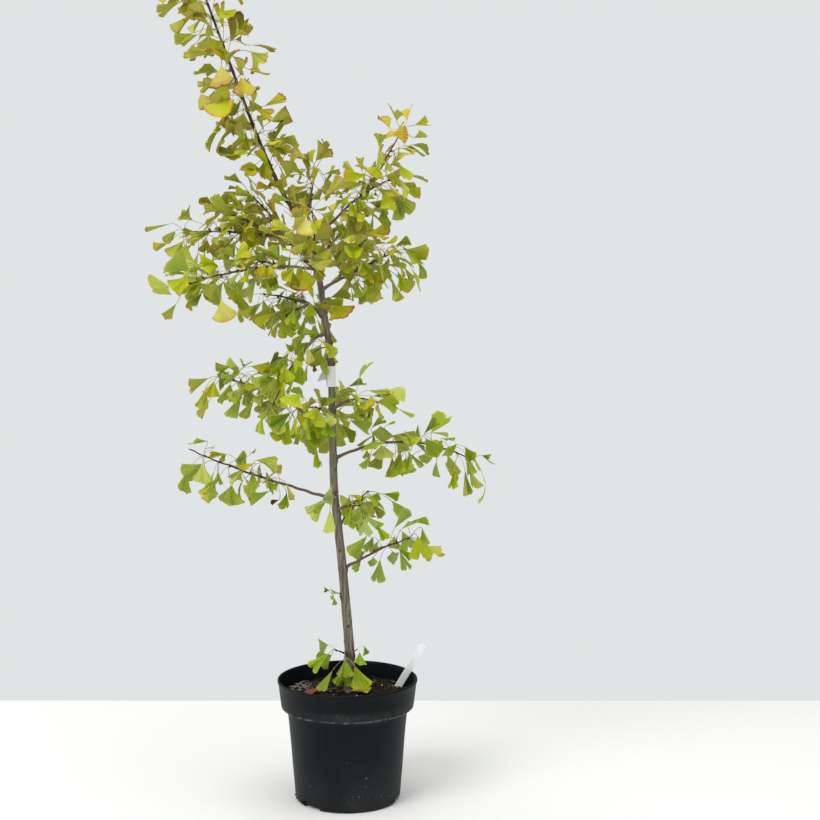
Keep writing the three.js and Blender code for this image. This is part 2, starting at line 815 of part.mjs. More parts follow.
function leafMaterial(plan) {
  const height = plan.spurs[0].at.z;
  return materials.leaves[COLOURS.leaves.findIndex(({ above }) => height > above)];
}

const plant = new THREE.Group();

function add(name, geometry, material) {
  const mesh = new THREE.Mesh(geometry, material);
  mesh.name = name;
  plant.add(mesh);
}

add('pot', potGeometry(), materials.pot);
add('compost', compostGeometry(), materials.compost);
add('pot_label', potLabelGeometry(0), materials.label);
add('stem_label', stemLabelGeometry(), materials.label);
add('trunk', trunkGeometry(0), materials.bark);
for (const plan of plans) {
  if (plan.bough > 0) {
    add(`bough_${plan.name}`, boughGeometry(plan), materials.bough);
  }
  add(`foliage_${plan.name}`, sprayGeometry(plan), leafMaterial(plan));
}

export default plant;
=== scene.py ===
"""The looks of a young ginkgo in a round nursery pot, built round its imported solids.

Sizes are in millimetres until a mesh is made, +Z is up, -Y is the front, and the origin is under the
middle of the pot. Every mesh is worked out with numpy, and every draw depends only on its keys.
"""

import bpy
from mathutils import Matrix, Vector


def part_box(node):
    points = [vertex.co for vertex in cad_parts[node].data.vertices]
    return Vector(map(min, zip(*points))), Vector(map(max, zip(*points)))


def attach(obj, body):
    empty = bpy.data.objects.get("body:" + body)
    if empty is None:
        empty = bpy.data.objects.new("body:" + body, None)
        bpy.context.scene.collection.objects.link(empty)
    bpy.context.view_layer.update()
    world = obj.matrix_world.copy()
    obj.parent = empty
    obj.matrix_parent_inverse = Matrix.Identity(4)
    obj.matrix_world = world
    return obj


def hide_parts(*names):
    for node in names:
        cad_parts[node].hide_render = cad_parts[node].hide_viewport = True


bl_info = {
    "name": "Potted ginkgo",
    "version": (1, 0, 0),
    "blender": (4, 5, 0),
    "location": "3D View > Sidebar > Ginkgo",
    "description": "Builds the pot, compost, bark, twigs, leaves and labels of a young ginkgo",
    "category": "Object",
}

import itertools
import math
from types import SimpleNamespace

import bpy
import numpy as np

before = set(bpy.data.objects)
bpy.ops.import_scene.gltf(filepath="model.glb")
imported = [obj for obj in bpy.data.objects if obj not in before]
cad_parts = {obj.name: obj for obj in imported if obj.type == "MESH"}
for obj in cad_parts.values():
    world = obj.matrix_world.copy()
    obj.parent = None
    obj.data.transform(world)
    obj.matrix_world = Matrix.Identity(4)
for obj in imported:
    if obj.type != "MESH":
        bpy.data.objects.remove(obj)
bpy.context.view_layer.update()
MM = 0.001
UP = np.array([0.0, 0.0, 1.0])
BODY = "root"

# ------------------------------------------------------------------ the plant's sizes, as in its solids

POT = SimpleNamespace(
    rim_radius=117,
    collar_radius=110,
    collar_height=49,
    collar_step=2.5,
    shoulder_radius=100,
    base_radius=88,
    base_round=6.4,
    floor=3,
    notches=3,
    notch_height=10,
    notch_width=40,
    notch_depth=14,
    notch_heading=-132,
)
COMPOST = SimpleNamespace(crown=182, edge=177, mound_radius=30, wall=107.5, gap=0.3)
TRUNK = SimpleNamespace(
    foot=182.3,
    tip=962,
    leader_tip=1425,
    start_x=5,
    flare=4,
    flare_height=11,
    stretch=30,
    # height, turn towards +X and towards +Y (in slope), and how softly the stem turns there
    bends=(
        (245, -0.085, 0.02, 12),
        (400, -0.03, 0.02, 16),
        (515, 0.097, -0.05, 10),
        (740, -0.122, -0.03, 10),
        (920, -0.44, 0.14, 6),
        (1020, 0.14, -0.05, 10),
        (1100, 0.075, -0.08, 12),
    ),
    girths=((182, 8.6), (750, 5.3), (915, 4.7), (945, 3.3), (1425, 1.3)),
)

# Bare knots on the trunk: height, heading, size and how far they stand out.
KNOTS = (
    (421, 262, 2.0, 0.16),
    (391, 330, 1.7, 0.16),
    (294, 275, 2.1, 0.16),
    (332, 60, 1.8, 0.16),
    (462, 150, 1.9, 0.16),
    (556, 300, 1.6, 0.16),
    (700, 20, 1.8, 0.16),
    (268, 200, 1.6, 0.16),
    (628, 100, 1.7, 0.16),
    (764, 338, 2.6, 0.5),
    (739, 187, 2.0, 0.55),
    (731, 350, 2.2, 0.4),
    (682, 345, 1.6, 0.35),
)

# A dead twig: its foot on the trunk, heading, reach, rise and bow.
DEAD_TWIG = (757, 250, 72, -4, 3)

# Each spray's stem leaves the trunk at the height "foot" towards "heading" (degrees from +X). "reach"
# is how far out its tip is, "rise" how much higher than its foot and "bow" how far its middle lifts.
# "bough" is the bare share of its length, a fork is (at, heading, reach, rise, bow, spurs), "droop" how
# far its leaves hang, "last" where its last spur is, "scale" the size of its leaves, "leaves" the
# fewest and most of them on a spur, and "more" how many small leaves are added to each. "fold" is how
# far its blades fold beside the others', "full" how large they are and "face" how far they turn to the
# front.
SPRAYS = (
    dict(name="low_left", foot=506, heading=187, reach=240, rise=87, bow=-5, bough=0.3, spurs=8, droop=0.62,
         last=0.88, more=0.7),
    dict(name="mid_left", foot=611, heading=160, reach=200, rise=88, bow=20, bough=0.22, spurs=11, droop=0.6,
         more=2.4),
    dict(name="arching_left", foot=782, heading=212, reach=99, rise=-111, bow=22, bough=0, spurs=6,
         droop=0.6),
    dict(name="short_left", foot=816, heading=150, reach=117, rise=26, bow=6, bough=0, spurs=6, droop=0.62,
         forks=((0.2, 205, 44, -14, 4, 3),)),
    dict(name="upper_left_front", foot=886, heading=196, reach=208, rise=-22, bow=12, bough=0.2, spurs=11,
         droop=0.45, forks=((0.3, 232, 54, 8, 4, 4),)),
    dict(name="upper_left_back", foot=930, heading=168, reach=213, rise=16, bow=6, bough=0.17, spurs=10,
         droop=0.4, forks=((0.2, 143, 80, 72, 6, 8), (0.32, 186, 68, 34, 6, 6))),
    dict(name="rising_right", foot=925, heading=12, reach=126, rise=105, bow=13, bough=0.3, spurs=8,
         droop=0.4, forks=((0.66, -12, 63, 98, -4, 5), (0.4, -52, 66, -8, 4, 4))),
    dict(name="upper_right", foot=851, heading=-20, reach=128, rise=63, bow=2, bough=0.22, spurs=8,
         droop=0.5, forks=((0.24, -52, 74, 66, 4, 6),)),
    dict(name="crown_back", foot=944, heading=84, reach=96, rise=104, bow=6, bough=0.25, spurs=7, droop=0.4),
    dict(name="upper_back", foot=896, heading=72, reach=168, rise=56, bow=8, bough=0.22, spurs=9, droop=0.4),
    dict(name="upper_front", foot=872, heading=256, reach=96, rise=30, bow=6, bough=0, spurs=6, droop=0.55,
         forks=((0.16, 268, 66, 96, 4, 6), (0.3, 222, 46, 40, 4, 3))),
    dict(name="back_left", foot=797, heading=112, reach=132, rise=34, bow=8, bough=0.25, spurs=6, droop=0.5),
    dict(name="trunk_spur", foot=826, heading=285, reach=15, rise=7, bow=0, bough=0, spurs=1, droop=0.6,
         leaves=(4, 5)),
    dict(name="mid_front", foot=642, heading=246, reach=82, rise=24, bow=6, bough=0, spurs=5, droop=0.6),
    dict(name="mid_right", foot=655, heading=-36, reach=92, rise=18, bow=10, bough=0, spurs=5, droop=0.5),
    dict(name="mid_back", foot=590, heading=96, reach=165, rise=44, bow=10, bough=0.25, spurs=7, droop=0.55),
    dict(name="long_right", foot=572, heading=7, reach=230, rise=-4, bow=30, bough=0.22, spurs=11, droop=0.6,
         more=1.6),
    dict(name="low_front", foot=513, heading=274, reach=48, rise=6, bow=4, bough=0, spurs=3, droop=0.55),
    dict(name="low_right_front", foot=488, heading=-46, reach=58, rise=14, bow=2, bough=0, spurs=3,
         droop=0.6),
    dict(name="low_back", foot=456, heading=67, reach=118, rise=46, bow=5, bough=0.3, spurs=5, droop=0.55,
         more=1.5),
    dict(name="low_right", foot=388, heading=16, reach=112, rise=46, bow=4, bough=0.35, spurs=5, droop=0.62,
         more=0.5),
    dict(name="sprout", foot=345, heading=200, reach=21, rise=5, bow=1, bough=0, spurs=1, droop=0.05,
         scale=0.33, more=3, fold=0.4, full=1.2, face=0.6),
    dict(name="foot_front", foot=250, heading=246, reach=13, rise=-3, bow=3, bough=0, spurs=2, droop=0.63,
         scale=0.9, leaves=(4, 5), more=1, fold=0.25, face=0.5),
    dict(name="foot_left", foot=240, heading=204, reach=24, rise=13, bow=1, bough=0, spurs=1, droop=0.49,
         scale=0.82, leaves=(2, 2), more=1, fold=0.25, full=1.12, face=0.75),
    dict(name="foot_right", foot=244, heading=-46, reach=16, rise=11, bow=1, bough=0, spurs=1, droop=0.7,
         scale=0.45, leaves=(3, 3), more=4, fold=0.3, full=1.2, face=0.7),
)
LEADER = dict(name="leader", scale=1.14, spurs=22, droop=0.42, bough=0, leaves=(4, 5), more=3.5,
              pull=(-0.45, -0.1, 0.0))
USUAL = dict(scale=1, leaves=(2, 4), forks=(), last=0.995, more=3.4, fold=1, full=1, face=0)

STEM = SimpleNamespace(bough_radius=2.9, tip_radius=1.0, steps=6, sides=9)
GOLDEN_ANGLE = 137.5
LEAF = SimpleNamespace(
    spacing=2.2,
    blade=(27, 43),
    opening=(17, 46),
    droop=(0.5, 1.25),
    waver=0.5,
    roll=65,
    tries=24,
)
PETIOLE = SimpleNamespace(
    length=(22, 46),
    spread=(28, 82),
    back=0.7,
    turn=60,
    knee_at=0.55,
    knee_lift=0.05,
    end_at=0.95,
    end_sag=0.3,
)
# A blade's mesh: points across it, and its rows' shares of the way out. Then the share of leaves with a
# cleft, its depth and width, and how much teeth, ridges, fold (degrees), curl, wave and twist vary.
BLADE = SimpleNamespace(
    columns=13,
    rows=np.array([0.4, 0.72, 0.91, 1.0]),
    clefts=0.5,
    cleft=(0.08, 0.36),
    cleft_width=0.13,
    teeth=(0.5, 1.9),
    pleats=(0.3, 1.0),
    fold=(6, 64),
    curl=(-0.06, 0.34),
    wave=(0.015, 0.07),
    waves=(3, 7),
    twist=0.6,
)
# The small leaves between the solids' own: the number of the first on each spur, how far their count
# varies, their size, and how far they may go past the box of the mass's solid.
SMALL = SimpleNamespace(first=6, count=(0.5, 1.5), size=(0.66, 1.0), past=3)
SPUR = SimpleNamespace(
    off_bough=8, on_fork=0.15, step=0.55, lean=0.5, end_lean=3, tall=(3.2, 5.6), sides=7, bud_ring=5
)
ROOM = SimpleNamespace(
    between_sprays=2.6, between_leaves=8, between_small=3.2, off_limbs=3.4, over_compost=185, forward=45
)
POT_LABEL = SimpleNamespace(foot=(84, 36), depth=21, lean=31, length=106, width=12, thickness=1)
STEM_LABEL = SimpleNamespace(bottom=693, height=34, thickness=0.8, slack=0.8, tab=17, tab_heading=196)

# The record's leaf slots, and between which heights the first spurs of their masses are.
TIERS = {"leaf_low": (0, 560), "leaf_mid": (560, 840), "leaf_high": (840, 9999)}

# Height, and how far leaves there have turned from green (0) to brown (1).
TURNED = ((300, 0.08), (450, 0.18), (700, 0.24), (900, 0.33), (1150, 0.41), (1450, 0.45))

# Leaves that died on the plant: how far the foot of each fan hangs from its twig, then its heading,
# tilt, roll, length and half opening; then their materials.
DEAD = (
    ((3, -1, -16), 250, -84, 60, 14.5, 22),
    ((-2, -1, -9), 230, -78, 20, 7, 15),
    ((5, -10, -28), 188, -18, 50, 14, 26),
)
DEAD_TONES = ("leaf_dead", "leaf_top_7", "leaf_dead")

# Leaves on the compost: foot x and y, lift, heading, length, half opening, tilt and roll; then their
# materials.
FALLEN = (
    (-39, -15, 7.5, 186, 31, 36, 2, 11),
    (5, -29, 7.0, 10, 32, 36, 2, 10),
    (-18, 58, 2.5, 140, 22, 30, 2, -8),
)
FALLEN_TONES = ("leaf_fallen", "leaf_top_3", "leaf_top_7")
LOOSE = SimpleNamespace(size=0.7, fold=0.6, seed=1057.0)

# Bits of grit, roots in the pale tangle and where its middle is, and crumbs on the pot's foot.
LITTER = SimpleNamespace(grit=36, tangle=20, tangle_at=(-84.0, 26.0, 0.0), crumbs=70)

# ------------------------------------------------------------------ numbers, directions and curves


def chance(a, b, c, d):
    """A number from 0 to 1 that depends only on its keys: the fraction of a large sine of their sum."""
    wave = np.sin(a * 12.9898 + b * 78.233 + c * 37.719 + d * 9.131) * 43758.5453
    return wave - np.floor(wave)


def between(span, share):
    """The value at a share of the way from a span's first number to its second."""
    return span[0] + (span[1] - span[0]) * share


def smooth(low, high, value):
    """0 below low, 1 above high and an eased rise between them."""
    share = np.clip((value - low) / (high - low), 0, 1)
    return share * share * (3 - 2 * share)


def unit(vectors):
    """Vectors of length 1 along the given ones."""
    return vectors / np.linalg.norm(vectors, axis=-1, keepdims=True)


def dot(first, second):
    """Two sets of vectors, multiplied part by part and summed, with the last axis kept."""
    return (first * second).sum(-1, keepdims=True)


def towards(heading):
    """The level direction at a heading, in degrees from +X towards +Y."""
    angle = math.radians(heading)
    return np.array([math.cos(angle), math.sin(angle), 0.0])


def tilted(heading, tilt):
    """The direction towards a heading, tilted up by an angle."""
    return towards(heading) * math.cos(math.radians(tilt)) + UP * math.sin(math.radians(tilt))


def square_to(direction):
    """Two directions square to each given one, the first as near to up as it can be."""
    level = np.where(np.abs(direction[..., 2:]) > 0.95, [1.0, 0.0, 0.0], UP)
    upper = unit(level - direction * dot(direction, level))
    return upper, np.cross(direction, upper)


def noise(points, size, seed=0):
    """Smooth random values from 0 to 1: one drawn at each corner of a grid, blended between corners."""
    scaled = points / size
    cell = np.floor(scaled)
    inside = scaled - cell
    inside = inside * inside * (3 - 2 * inside)
    total = 0
    for corner in itertools.product((0, 1), repeat=3):
        weight = np.prod(np.where(corner, inside, 1 - inside), axis=-1)
        drawn = cell + corner
        total = total + weight * chance(drawn[..., 0], drawn[..., 1], drawn[..., 2], seed)
    return total


def trunk_at(height):
    """The stem's line: a straight rise that turns a little at each bend, each turn eased by ln(1 + e^u)."""
    height = np.asarray(height, float)
    x = np.full_like(height, TRUNK.start_x)
    y = np.zeros_like(height)
    for bend, turn_x, turn_y, soft in TRUNK.bends:
        run = soft * np.log1p(np.exp((height - bend) / soft))
        x = x + turn_x * run
        y = y + turn_y * run
    return np.stack([x, y, height], axis=-1)


def trunk_radius(height):
    """Straight tapers between the named girths, and a flare that dies away above the compost."""
    heights, radii = zip(*TRUNK.girths)
    flare = TRUNK.flare * np.exp((COMPOST.crown - height) / TRUNK.flare_height)
    return np.interp(height, heights, radii) + flare


class Line:
    """A limb's middle line, given as a function from the share of its length to a point."""

    def __init__(self, point):
        self.point = point

    def tangent(self, share):
        """The direction at a share, from the points just before and just after it."""
        low, high = np.maximum(share - 1e-4, 0), np.minimum(share + 1e-4, 1)
        return unit(self.point(high) - self.point(low))

    def length(self):
        """The sum of 200 short chords."""
        return np.linalg.norm(np.diff(self.point(np.linspace(0, 1, 201)), axis=0), axis=1).sum()

    def chain(self):
        """The line as a chain of points that goes on straight past its tip into the space of its leaves."""
        points = self.point(np.linspace(0, 1, STEM.steps + 1))
        return np.vstack([points, points[-1] + self.tangent(1.0) * ROOM.forward])


def bough_line(start, heading, reach, rise, bow):
    """Out along the heading, up by the rise, and over its bow: 4 bow t (1 - t) above the straight way."""
    out = towards(heading)

    def point(share):
        share = np.asarray(share, float)[..., None]
        return start + out * reach * share + UP * (rise * share + 4 * bow * share * (1 - share))

    return Line(point)


def trunk_line(low, high):
    """The stem's own line between two heights."""
    return Line(lambda share: trunk_at(low + (high - low) * np.asarray(share, float)))


# ------------------------------------------------------------------ the masses: stems, spurs and leaves


def spurs_along(line, start, count, key, last=USUAL["last"], pull=(0.0, 0.0, 0.0)):
    """Spurs at even steps along a line, a golden angle apart round it, and the last one ends it."""
    spurs = []
    for place in range(count):
        at_end = place == count - 1
        share = last if at_end else start + (last - start) * (place + SPUR.step) / count
        tangent = line.tangent(share)
        upper, side = square_to(tangent)
        angle = math.radians(place * GOLDEN_ANGLE + 360 * chance(key, place, 1, 1))
        out = upper * math.cos(angle) + side * math.sin(angle)
        out = unit(out + tangent * (SPUR.end_lean if at_end else SPUR.lean) + np.array(pull))
        spurs.append(SimpleNamespace(at=line.point(share), line=out, back=-tangent, key=place + key / 7))
    return spurs


def plan_spray(index, spray):
    """A spray's stems, spurs and the lines that its own space surrounds."""
    plan = SimpleNamespace(**{**USUAL, **spray}, index=index)
    line = bough_line(trunk_at(plan.foot), plan.heading, plan.reach, plan.rise, plan.bow)
    start = plan.bough + SPUR.off_bough / line.length()
    plan.spurs = spurs_along(line, start, plan.spurs, index, plan.last)
    plan.stems = [SimpleNamespace(line=line, thick=(0, 1), fork=False)]
    for order, (at, heading, reach, rise, bow, count) in enumerate(plan.forks):
        shoot = bough_line(line.point(at), heading, reach, rise, bow)
        plan.spurs += spurs_along(shoot, SPUR.on_fork, count, index + (order + 1) / 4)
        plan.stems.append(SimpleNamespace(line=shoot, thick=(at, 1), fork=True))
    return plan


def plan_leader(index):
    """The leader's stem and spurs, set along the trunk's own line."""
    line = trunk_line(TRUNK.tip + 0.3, TRUNK.leader_tip)
    plan = SimpleNamespace(**{**USUAL, **LEADER}, index=index)
    plan.spurs = spurs_along(line, 0, plan.spurs, index, plan.last, plan.pull)
    plan.stems = [SimpleNamespace(line=line, thick=(0, 1), fork=False)]
    return plan


class Space:
    """Distances from points to every mass's lines and to the trunk, both as short straight stretches."""

    def __init__(self, plans):
        chains = [[stem.line.chain() for stem in plan.stems] for plan in plans]
        counts = [sum(len(chain) - 1 for chain in mass) for mass in chains]
        self.starts = np.cumsum([0] + counts[:-1])
        flat = [chain for mass in chains for chain in mass]
        lows = np.vstack([chain[:-1] for chain in flat])
        highs = np.vstack([chain[1:] for chain in flat])
        self.lines = self.stretches(lows, highs)
        heights = np.arange(TRUNK.foot, TRUNK.leader_tip, TRUNK.stretch)
        tops = np.minimum(heights + TRUNK.stretch, TRUNK.leader_tip)
        self.trunk = self.stretches(trunk_at(heights), trunk_at(tops))
        self.radii = trunk_radius(heights)

    @staticmethod
    def stretches(low, high):
        """The start, the run and the square of the run's length of each stretch."""
        along = high - low
        return low, along, (along**2).sum(-1)

    @staticmethod
    def distances(points, stretches):
        """Each point's distance to each straight stretch: to its nearest point between the two ends."""
        low, along, squared = stretches
        gap = points[:, None, :] - low
        share = np.clip((gap * along).sum(-1) / squared, 0, 1)
        return np.linalg.norm(gap - share[..., None] * along, axis=-1)

    def to_masses(self, points):
        """Each point's distance to the nearest line of each mass."""
        return np.minimum.reduceat(self.distances(points, self.lines), self.starts, axis=1)

    def off_trunk(self, points):
        """Each point's distance to the trunk's skin."""
        return (self.distances(points, self.trunk) - self.radii).min(1)


def leaf_candidates(plan, spur, leaf, scale):
    """All attempts at one leaf, as arrays.

    Its petiole goes out from the spur at a drawn angle and turn, its knee and end are set shares along
    it, and the blade's line is the petiole's, bent down by the droop and strayed a little.
    """
    attempt = np.arange(LEAF.tries)

    def draw(what):
        return chance(plan.index + 1, spur.key + leaf * 17.3, attempt + 1, what)

    def column(values):
        return values[:, None]

    upper, side = square_to(spur.line)
    turn = np.radians(
        360 * chance(plan.index, spur.key, 2, 2) + leaf * GOLDEN_ANGLE + PETIOLE.turn * draw(1)
    )
    spread = np.radians(between(PETIOLE.spread, draw(2)))
    petiole = (
        spur.line * column(np.cos(spread))
        + upper * column(np.sin(spread) * np.cos(turn))
        + side * column(np.sin(spread) * np.sin(turn))
    )
    reach = between(PETIOLE.length, draw(3)) * scale
    droop = plan.droop * between(LEAF.droop, draw(4))
    start = spur.at + spur.back * leaf * LEAF.spacing
    knee = start + petiole * column(reach * PETIOLE.knee_at) + UP * column(reach * PETIOLE.knee_lift)
    apex = start + petiole * column(reach * PETIOLE.end_at) - UP * column(reach * droop * PETIOLE.end_sag)
    stray = np.stack([draw(5), draw(6), draw(7)], axis=-1) - 0.5
    blade = unit(petiole * column(1 - droop) - UP * column(droop) + stray * LEAF.waver)
    flat = unit(np.cross(petiole, blade))
    roll = np.radians(LEAF.roll * (2 * draw(8) - 1))
    rolled = flat * column(np.cos(roll)) + np.cross(blade, flat) * column(np.sin(roll))
    length = between(LEAF.blade, draw(9)) * scale
    opening = np.radians(between(LEAF.opening, draw(10)))
    probes = [knee, apex]
    for out in (1, 2 / 3, 1 / 3):
        for side_turn in (-1, -2 / 3, -1 / 3, 0, 1 / 3, 2 / 3, 1):
            along = column(length * out * np.cos(opening * side_turn))
            across = column(length * out * np.sin(opening * side_turn))
            probes.append(apex + blade * along + rolled * across)
    return dict(
        apex=apex,
        petiole=petiole,
        blade=blade,
        rolled=rolled,
        length=length,
        opening=opening,
        back=petiole @ spur.back,
        probes=np.stack(probes, axis=1),
    )


def fits(plan, points, space, grown, gap):
    """Whether one leaf's points are in its own mass's space, off every limb and off the leaves before it."""
    away = space.to_masses(points)
    own = away[:, plan.index].copy()
    away[:, plan.index] = np.inf
    if (away.min(1) < own + ROOM.between_sprays).any():
        return False
    if (own[1:] <= STEM.bough_radius + ROOM.off_limbs).any():
        return False
    if (space.off_trunk(points) < ROOM.off_limbs).any():
        return False
    return not len(grown) or ((points[:, None] - grown[None]) ** 2).sum(-1).min() >= gap**2


def first_fit(plan, made, space, grown, gap, box):
    """The first attempt above the compost, not turned back along its stem, in the box if any, that fits."""
    probes = made["probes"]
    good = (made["back"] < PETIOLE.back) & (probes[..., 2] >= ROOM.over_compost).all(1)
    if box is not None:
        good &= ((probes >= box[0]) & (probes <= box[1])).all((1, 2))
    tried = (at for at in np.flatnonzero(good) if fits(plan, probes[at], space, grown, gap))
    return next(tried, None)


def wanted_leaves(plan):
    """The leaves a mass tries for: first those that the solids have, then small ones between them."""
    low, high = (np.array(corner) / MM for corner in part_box("foliage_" + plan.name))
    box = (low - SMALL.past, high + SMALL.past)
    for place, spur in enumerate(plan.spurs):
        count = round_half_up(between(plan.leaves, chance(plan.index, spur.key, 5, 5)))
        for leaf in range(count):
            yield place, spur, leaf, 1.0, ROOM.between_leaves, None
    for place, spur in enumerate(plan.spurs):
        count = round_half_up(plan.more * between(SMALL.count, chance(plan.index, spur.key, 6, 6)))
        for leaf in range(SMALL.first, SMALL.first + count):
            size = between(SMALL.size, chance(plan.index, spur.key, 7, leaf))
            yield place, spur, leaf, size, ROOM.between_small, box


def grow():
    """Every mass's plan and all their leaves, each a row of its places, directions and sizes."""
    plans = [plan_spray(index, spray) for index, spray in enumerate(SPRAYS)]
    plans.append(plan_leader(len(SPRAYS)))
    space = Space(plans)
    rows = []
    for plan in plans:
        grown = np.zeros((0, 3))
        for place, spur, leaf, size, gap, box in wanted_leaves(plan):
            made = leaf_candidates(plan, spur, leaf, plan.scale * size)
            at = first_fit(plan, made, space, grown, gap, box)
            if at is None:
                continue
            grown = np.vstack([grown, made["probes"][at]])
            root = spur.at + spur.line * spur_length(plan, spur)
            row = dict(mass=plan.index, spur=place, root=root, size=plan.scale * size)
            row.update((key, made[key][at]) for key in made if key not in ("probes", "back"))
            row.update((key, getattr(plan, key)) for key in ("fold", "full", "face"))
            rows.append(row)
    leaves = SimpleNamespace(**{key: np.array([row[key] for row in rows]) for key in rows[0]})
    leaves.seed = np.arange(len(rows)) + 1.0
    return plans, leaves


def round_half_up(value):
    """The nearest whole number, where a half goes up."""
    return int(math.floor(value + 0.5))


def spur_length(plan, spur):
    """How far a spur stands out, less where the leaves are small."""
    return between(SPUR.tall, chance(plan.index, spur.key, 8, 8)) * min(1, plan.scale + 0.2)


# ------------------------------------------------------------------ meshes


def grid_faces(rows, columns):
    """Four-cornered faces between points stored row by row, the last column joined to the first."""
    row = np.arange(rows - 1)[:, None] * columns
    column = np.arange(columns)[None, :]
    beside = (column + 1) % columns
    corners = [row + column, row + beside, row + beside + columns, row + column + columns]
    return np.stack(corners, -1).reshape(-1, 4)


def closed_skins(rings, first, last):
    """Points and faces of many closed skins: rings (skins, rings, sides, 3), each end a fan to a point."""
    skins, rows, columns = rings.shape[:3]
    size = rows * columns
    points = np.concatenate([rings.reshape(skins, size, 3), first[:, None], last[:, None]], axis=1)
    side = np.arange(columns)
    beside = (side + 1) % columns
    top = size - columns
    none = np.full(columns, -1)
    low = np.stack([np.full(columns, size), beside, side, none], -1)
    high = np.stack([np.full(columns, size + 1), top + side, top + beside, none], -1)
    one = np.vstack([grid_faces(rows, columns), low, high])
    return points.reshape(-1, 3), repeat_faces(one, skins, size + 2)


def repeat_faces(faces, copies, points):
    """The same faces for each of many copies, whose points follow one another."""
    shift = np.arange(copies)[:, None, None] * points
    return np.where(faces[None] < 0, -1, faces[None] + shift).reshape(-1, 4)


def carried_frames(tangents):
    """Directions square to the tangents of many paths (paths, steps, 3), carried along without twisting."""
    upper = [square_to(tangents[:, 0])[0]]
    for step in range(1, tangents.shape[1]):
        tangent = tangents[:, step]
        upper.append(unit(upper[-1] - tangent * dot(upper[-1], tangent)))
    upper = np.stack(upper, axis=1)
    return upper, np.cross(tangents, upper)


def tubes(paths, radii, sides, relief=None):
    """Round tubes along many paths (paths, steps, 3): a ring of the radius square to the path at each step.

    relief, if given, multiplies the radius by a value for each path, step and side.
    """
    tangents = unit(np.gradient(paths, axis=1))
    upper, side = carried_frames(tangents)
    angle = np.linspace(0, 2 * np.pi, sides, endpoint=False)[:, None]
    around = upper[:, :, None] * np.cos(angle) + side[:, :, None] * np.sin(angle)
    size = radii[:, :, None, None] * (1 if relief is None else relief[..., None])
    rings = paths[:, :, None] + around * size
    return closed_skins(rings, paths[:, 0], paths[:, -1])


def join(pieces):
    """Several lots of points and faces as one, and the number of each lot that a face came from."""
    points, faces, lots, start = [], [], [], 0
    for lot, (some_points, some_faces) in enumerate(pieces):
        points.append(some_points)
        faces.append(np.where(some_faces < 0, -1, some_faces + start))
        lots.append(np.full(len(some_faces), lot))
        start += len(some_points)
    return np.vstack(points), np.vstack(faces), np.concatenate(lots)


def make_piece(
    name, points, faces, materials, slot, nodes=(), choice=None, sharp=None, values=None, uv=None
):
    """A finished piece from points in millimetres and faces whose fourth corner is -1 for a triangle.

    choice gives each face its material, sharp the angle in degrees past which an edge shows, values
    the floats that a material reads at each point, and uv a pair for each point.
    """
    mesh = bpy.data.meshes.new(name)
    corners = faces.ravel() >= 0
    mesh.from_pydata((points * MM).tolist(), [], [[c for c in face if c >= 0] for face in faces.tolist()])
    for material in materials:
        mesh.materials.append(material)
    if choice is not None:
        mesh.polygons.foreach_set("material_index", choice.astype(np.int32))
    for key, numbers in (values or {}).items():
        mesh.attributes.new(key, "FLOAT", "POINT").data.foreach_set("value", numbers.astype(np.float32))
    if uv is not None:
        layer = mesh.uv_layers.new(name="sheet")
        layer.data.foreach_set("uv", uv[faces.ravel()[corners]].astype(np.float32).ravel())
    mesh.shade_smooth()
    if sharp is not None:
        mesh.set_sharp_from_angle(angle=math.radians(sharp))
    mesh.validate()
    piece = bpy.data.objects.new(name, mesh)
    bpy.context.scene.collection.objects.link(piece)
    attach(piece, BODY)
    if nodes:
        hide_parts(*nodes)
    return piece


# ------------------------------------------------------------------ materials


class Value:
    """A node's output that Python's own operators turn into Math nodes."""

    def __init__(self, graph, socket):
        self.graph = graph
        self.socket = socket

    def __add__(self, other):
        return self.graph.math("ADD", self, other)

    def __radd__(self, other):
        return self.graph.math("ADD", other, self)

    def __sub__(self, other):
        return self.graph.math("SUBTRACT", self, other)

    def __rsub__(self, other):
        return self.graph.math("SUBTRACT", other, self)

    def __mul__(self, other):
        return self.graph.math("MULTIPLY", self, other)

    def __rmul__(self, other):
        return self.graph.math("MULTIPLY", other, self)


